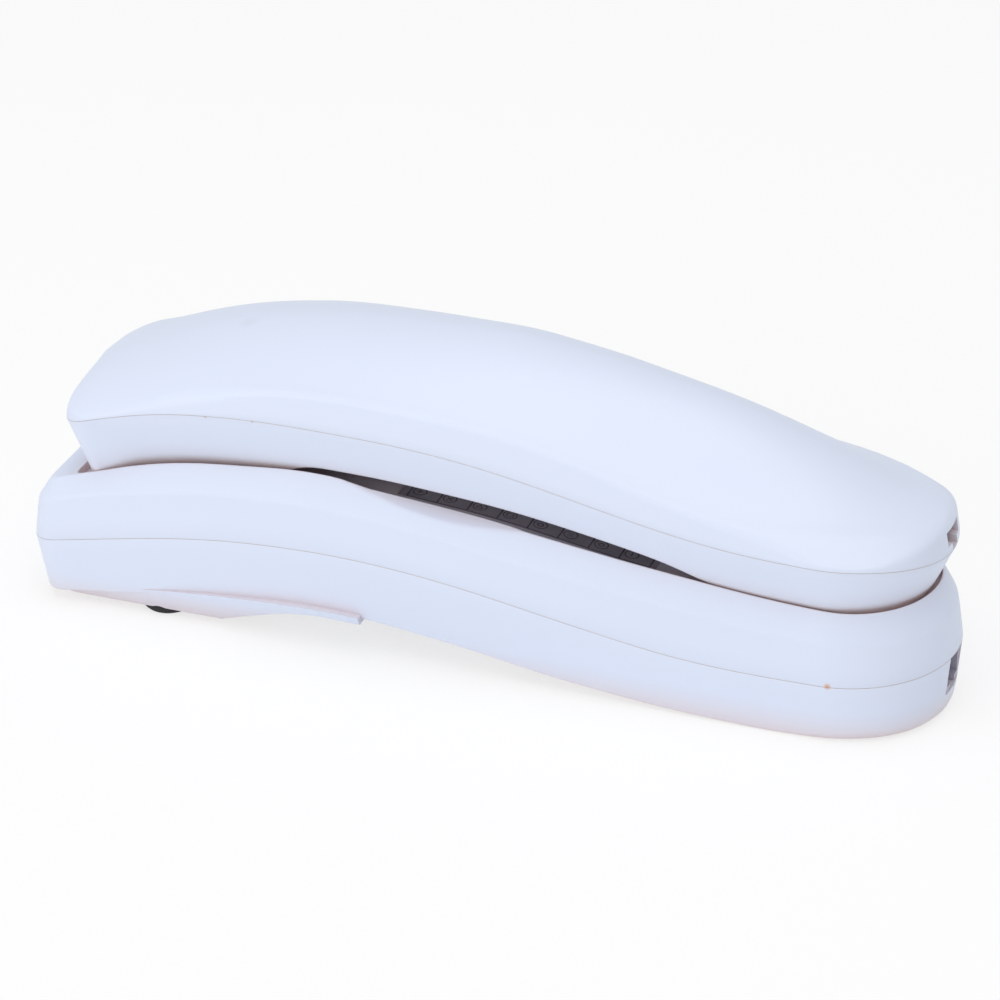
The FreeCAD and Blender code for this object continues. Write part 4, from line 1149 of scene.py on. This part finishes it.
def spot_group():
    """Round soft mark: 1 at a place on the object, 0 past its radius."""
    tree, given, out = group_tree(
        "small_spot", [("Place", VECTOR, (0.0, 0.0, 0.0)), ("Radius", FLOAT, 0.001)], [("Mask", FLOAT)])
    where = placed(tree, "TexCoord", {})["Object"]
    away = placed(tree, "VectorMath", {0: where, 1: given["Place"]}, operation="DISTANCE")["Value"]
    outward = maths(tree, "DIVIDE", away, given["Radius"])
    feed(tree, out["Mask"], maths(tree, "SUBTRACT", 1.0, outward, clamp=True))
    return tree


def close_places_group():
    """Shade mask from ambient occlusion: 1 in narrow places such as the line where the handset rests on the
    rim, 0 in the open.
    """
    tree, given, out = group_tree("close_places", [("Reach", FLOAT, 0.01)], [("Mask", FLOAT)])
    shelter = placed(tree, "AmbientOcclusion", {"Distance": given["Reach"]},
                     samples=SHELTER_SAMPLES)
    feed(tree, out["Mask"], maths(tree, "SUBTRACT", 1.0, shelter["AO"], clamp=True))
    return tree


fine_grain = fine_grain_group()
small_spot = spot_group()
close_places = close_places_group()


# materials

def with_nodes(data):
    data.use_nodes = True
    return data.node_tree


def grouped(tree, group, inputs):
    return placed(tree, "Group", inputs, node_tree=group)


def moulded(name, colour, second, gloss, cloud=30.0, grain=2500.0, bump=0.1, metallic=0.0):
    """Material of one finish: two near colours in clouds, uneven gloss and a fine grain."""
    mat = bpy.data.materials.new(name)
    tree = with_nodes(mat)
    bsdf = tree.nodes["Principled BSDF"]
    bsdf.inputs["Metallic"].default_value = metallic
    values = {"Cloud Scale": cloud, "Grain Scale": grain, "Bump": bump, "Gloss": gloss}
    surface = grouped(tree, fine_grain, values)
    feed(tree, bsdf.inputs["Base Color"], mixed(tree, surface["Cloud"], srgb(colour), srgb(second)))
    feed(tree, bsdf.inputs["Roughness"], surface["Roughness"])
    feed(tree, bsdf.inputs["Normal"], surface["Normal"])
    return mat


def laid_over(mat, colour, mask):
    """Lay a colour over a material's own, as far as the mask says."""
    tree = mat.node_tree
    base = tree.nodes["Principled BSDF"].inputs["Base Color"]
    feed(tree, base, mixed(tree, mask, base.links[0].from_socket, srgb(colour)))


def add_spot(mat, place, radius, colour, strength):
    """Small stain at a place of the object; place and radius are in millimetres."""
    tree = mat.node_tree
    spot = grouped(tree, small_spot, {"Place": tuple(c * MM for c in place), "Radius": radius * MM})
    laid_over(mat, colour, maths(tree, "MULTIPLY", spot["Mask"], strength, clamp=True))


def add_seam_soil(mat, colour):
    """Thin beige soil in the parting seams, from the seam mark on the mesh."""
    laid_over(mat, colour, placed(mat.node_tree, "Attribute", {}, attribute_name="seam")["Fac"])


def add_painted_corner_shade(mat, colour, reach):
    """Painted shade: a warmer, darker white laid over the plastic in narrow places that light doesn't reach.
    """
    laid_over(mat, colour, grouped(mat.node_tree, close_places, {"Reach": reach * MM})["Mask"])


WHITE = (221, 229, 246)
WHITE_CLOUD = (218, 226, 244)
# painted shade: a warm, darker white for the narrow places of the white shells
PAINTED_SHADE_WARM = (226, 206, 204)
SEAM_BEIGE = (206, 194, 190)
# how far the occlusion mask of the painted shade looks, in millimetres
PAINTED_SHADE_REACH = 9.0
RUST_X = 87.2
SOIL_Y = -25.8
handset_white = moulded("handset_white", WHITE, WHITE_CLOUD, gloss=0.42, cloud=14.0)
base_white = moulded("base_white", WHITE, WHITE_CLOUD, gloss=0.42, cloud=14.0)
for mat in (handset_white, base_white):
    # painted warm shade in narrow places, then beige soil in the seams
    add_painted_corner_shade(mat, PAINTED_SHADE_WARM, PAINTED_SHADE_REACH)
    add_seam_soil(mat, SEAM_BEIGE)
rust_place = (RUST_X, -25.9, base_seam(RUST_X) + 0.2)
add_spot(base_white, rust_place, radius=1.0, colour=(214, 138, 60), strength=0.9)
for x, colour in ((-61.0, (150, 120, 90)), (-49.3, (160, 130, 100))):
    add_spot(handset_white, (x, SOIL_Y, hand_seam(x) - 0.2), radius=0.5, colour=colour, strength=0.5)
add_spot(handset_white, (-60.0, -3.0, 72.5), radius=3.0, colour=(200, 204, 218), strength=0.35)

finishes = {
    "shell_white": base_white,
    "key_grey": moulded("key_plastic", (206, 210, 218), (200, 204, 212), gloss=0.45, cloud=60.0),
    "rubber_dark": moulded("foot_rubber", (44, 43, 44), (34, 33, 34), gloss=0.75, bump=0.5, grain=1500.0),
    "rubber_grey": moulded("mat_rubber", (128, 130, 134), (116, 118, 122), gloss=0.7, bump=0.4),
    "board": moulded("board_green", (46, 94, 56), (38, 82, 50), gloss=0.4, cloud=200.0),
    "film": moulded("film_amber", (196, 158, 82), (184, 142, 66), gloss=0.35, cloud=120.0),
    "black_plastic": moulded("receiver_black", (40, 40, 42), (30, 30, 32), gloss=0.45, bump=0.3),
    "jack_plastic": moulded("jack_grey", (186, 182, 198), (174, 170, 188), gloss=0.4, cloud=80.0),
    "can_metal": moulded("can_metal", (200, 200, 202), (186, 186, 190), gloss=0.3, metallic=1.0),
    "disc_brass": moulded("disc_brass", (206, 168, 98), (190, 150, 82), gloss=0.32, metallic=1.0),
    "card_paper": moulded("card_paper", (196, 187, 199), (188, 179, 191), gloss=0.75, cloud=150.0),
    "cover_clear": moulded("cover_clear", (214, 216, 224), (206, 208, 216), gloss=0.25),
}
COVER_ALPHA = 0.10
finishes["cover_clear"].node_tree.nodes["Principled BSDF"].inputs["Alpha"].default_value = COVER_ALPHA
ink = moulded("print_ink", (112, 98, 114), (104, 90, 106), gloss=0.7)
key_ink = moulded("key_ink", (54, 56, 62), (46, 48, 54), gloss=0.6)
gold = moulded("contact_gold", (226, 186, 104), (212, 170, 88), gloss=0.25, metallic=1.0)
steel = moulded("screw_steel", (168, 168, 172), (152, 152, 156), gloss=0.35, metallic=1.0, bump=0.2)

for part in frame["record"]["subparts"]:
    for slot in frame["nodes"][part["node"]].material_slots:
        slot.material = finishes[part["material_slot"]]


def dressed(obj, material, body, stands_for=()):
    """Give a piece its finish and tie it to its body."""
    obj.data.materials.clear()
    obj.data.materials.append(material)
    if stands_for:
        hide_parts(*stands_for)
    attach(obj, body)


dressed(handset_back, handset_white, "handset", ["handset_back"])
dressed(handset_face, handset_white, "handset", ["handset_face"])
dressed(base_upper, base_white, "base", ["base_upper_shell"])
dressed(base_lower, base_white, "base", ["base_lower_shell"])
dressed(card_print(), ink, "base")
for name, (x, y) in zip(key_names, key_places):
    dressed(key_print(name, x, y), key_ink, "key_" + name)
for i, (x, y) in enumerate(SCREW_PLACES):
    dressed(screw("case_screw_%d" % (i + 1), x, y), steel, "base")
dressed(contacts("handset_contacts", x0=95.5, x1=103.4, y_half=2.4, z=46.0), gold, "handset")
dressed(contacts("cord_contacts", x0=98.0, x1=107.6, y_half=2.4, z=13.4), gold, "base")
dressed(contacts("line_contacts", x0=-39.0, x1=-28.4, y_half=3.0, z=18.2), gold, "base")


# floor, in millimetres like the pieces; lamps and camera, in metres

FLOOR_HALF = 3000.0
FLOOR_Z = -0.05
FLOOR_WHITE = (0.98, 0.98, 0.98, 1.0)
FLOOR_ROUGHNESS = 0.9
FLOOR_SPECULAR = 0.1
FLOOR_GLOW_SHARE = 0.7
SURROUND_LIGHT = (0.97, 0.98, 1.0, 1.0)
SURROUND_STRENGTH = 0.58
VIEW_TURN = radians(21.3)
VIEW_RISE = radians(28.8)
VIEW_ROLL = radians(1.1)
VIEW_DISTANCE = 0.9
VIEW_TARGET = Vector((0.0005, 0.0, 0.0339))
LENS = 140.3
SENSOR = 36.0


def seen_directly(tree):
    """1 where the surround is seen straight, mirrored or through something clear."""
    path = placed(tree, "LightPath", {})
    seen = maths(tree, "MAXIMUM", path["Is Camera Ray"], path["Is Glossy Ray"])
    return maths(tree, "MAXIMUM", seen, path["Is Transmission Ray"])


def white_floor():
    """White floor that keeps the shadow."""
    s = FLOOR_HALF
    floor = mesh_object("floor", [(x, y, FLOOR_Z) for x, y in ((-s, -s), (s, -s), (s, s), (-s, s))],
                        [(0, 1, 2, 3)])
    mat = bpy.data.materials.new("floor_white")
    tree = with_nodes(mat)
    bsdf = tree.nodes["Principled BSDF"]
    bsdf.inputs["Base Color"].default_value = FLOOR_WHITE
    bsdf.inputs["Roughness"].default_value = FLOOR_ROUGHNESS
    bsdf.inputs["Specular IOR Level"].default_value = FLOOR_SPECULAR
    glow = placed(tree, "Emission", {"Strength": 1.0})[0]
    amount = maths(tree, "MULTIPLY", seen_directly(tree), FLOOR_GLOW_SHARE)
    blend = placed(tree, "MixShader", {0: amount, 1: bsdf.outputs[0], 2: glow})[0]
    feed(tree, tree.nodes["Material Output"].inputs["Surface"], blend)
    floor.data.materials.append(mat)


def white_surround():
    """Even, slightly cool light from all round, white where it is seen."""
    world = bpy.data.worlds.new("studio")
    bpy.context.scene.world = world
    tree = with_nodes(world)
    light = tree.nodes["Background"]
    light.inputs["Color"].default_value = SURROUND_LIGHT
    light.inputs["Strength"].default_value = SURROUND_STRENGTH
    white = placed(tree, "Background", {"Strength": 1.0})[0]
    blend = placed(tree, "MixShader", {0: seen_directly(tree), 1: light.outputs[0], 2: white})[0]
    feed(tree, tree.nodes["World Output"].inputs["Surface"], blend)


def area_light(name, at, target, size, power):
    lamp = bpy.data.lights.new(name, "AREA")
    lamp.shape = "SQUARE"
    lamp.size = size
    lamp.energy = power
    obj = in_scene(name, lamp)
    obj.location = at
    obj.rotation_mode = "QUATERNION"
    obj.rotation_quaternion = (Vector(target) - Vector(at)).to_track_quat("-Z", "Y")


def photo_camera():
    """Seen from the near side, a little round toward the cord end, and from above."""
    a = VIEW_TURN
    e = VIEW_RISE
    back = Vector((sin(a) * cos(e), -cos(a) * cos(e), sin(e)))
    right = Vector((cos(a), sin(a), 0.0))
    up = Vector((-sin(a) * sin(e), cos(a) * sin(e), cos(e)))
    r = right * cos(VIEW_ROLL) - up * sin(VIEW_ROLL)
    u = up * cos(VIEW_ROLL) + right * sin(VIEW_ROLL)
    data = bpy.data.cameras.new("photo_camera")
    data.sensor_width = SENSOR
    data.lens = LENS
    data.clip_start = 0.05
    data.clip_end = 20.0
    cam = in_scene("photo_camera", data)
    cam.rotation_mode = "QUATERNION"
    cam.rotation_quaternion = Matrix((r, u, back)).transposed().to_quaternion()
    cam.location = VIEW_TARGET + back * VIEW_DISTANCE
    bpy.context.scene.camera = cam


white_floor()
white_surround()
area_light("top_light", at=(0.10, -0.30, 1.35), target=(0, 0, 0), size=1.2, power=7.8)
area_light("near_light", at=(-0.7, -1.3, 0.4), target=(0, 0, 0.03), size=1.1, power=5.8)
photo_camera()
bpy.context.scene.view_settings.view_transform = "Standard"
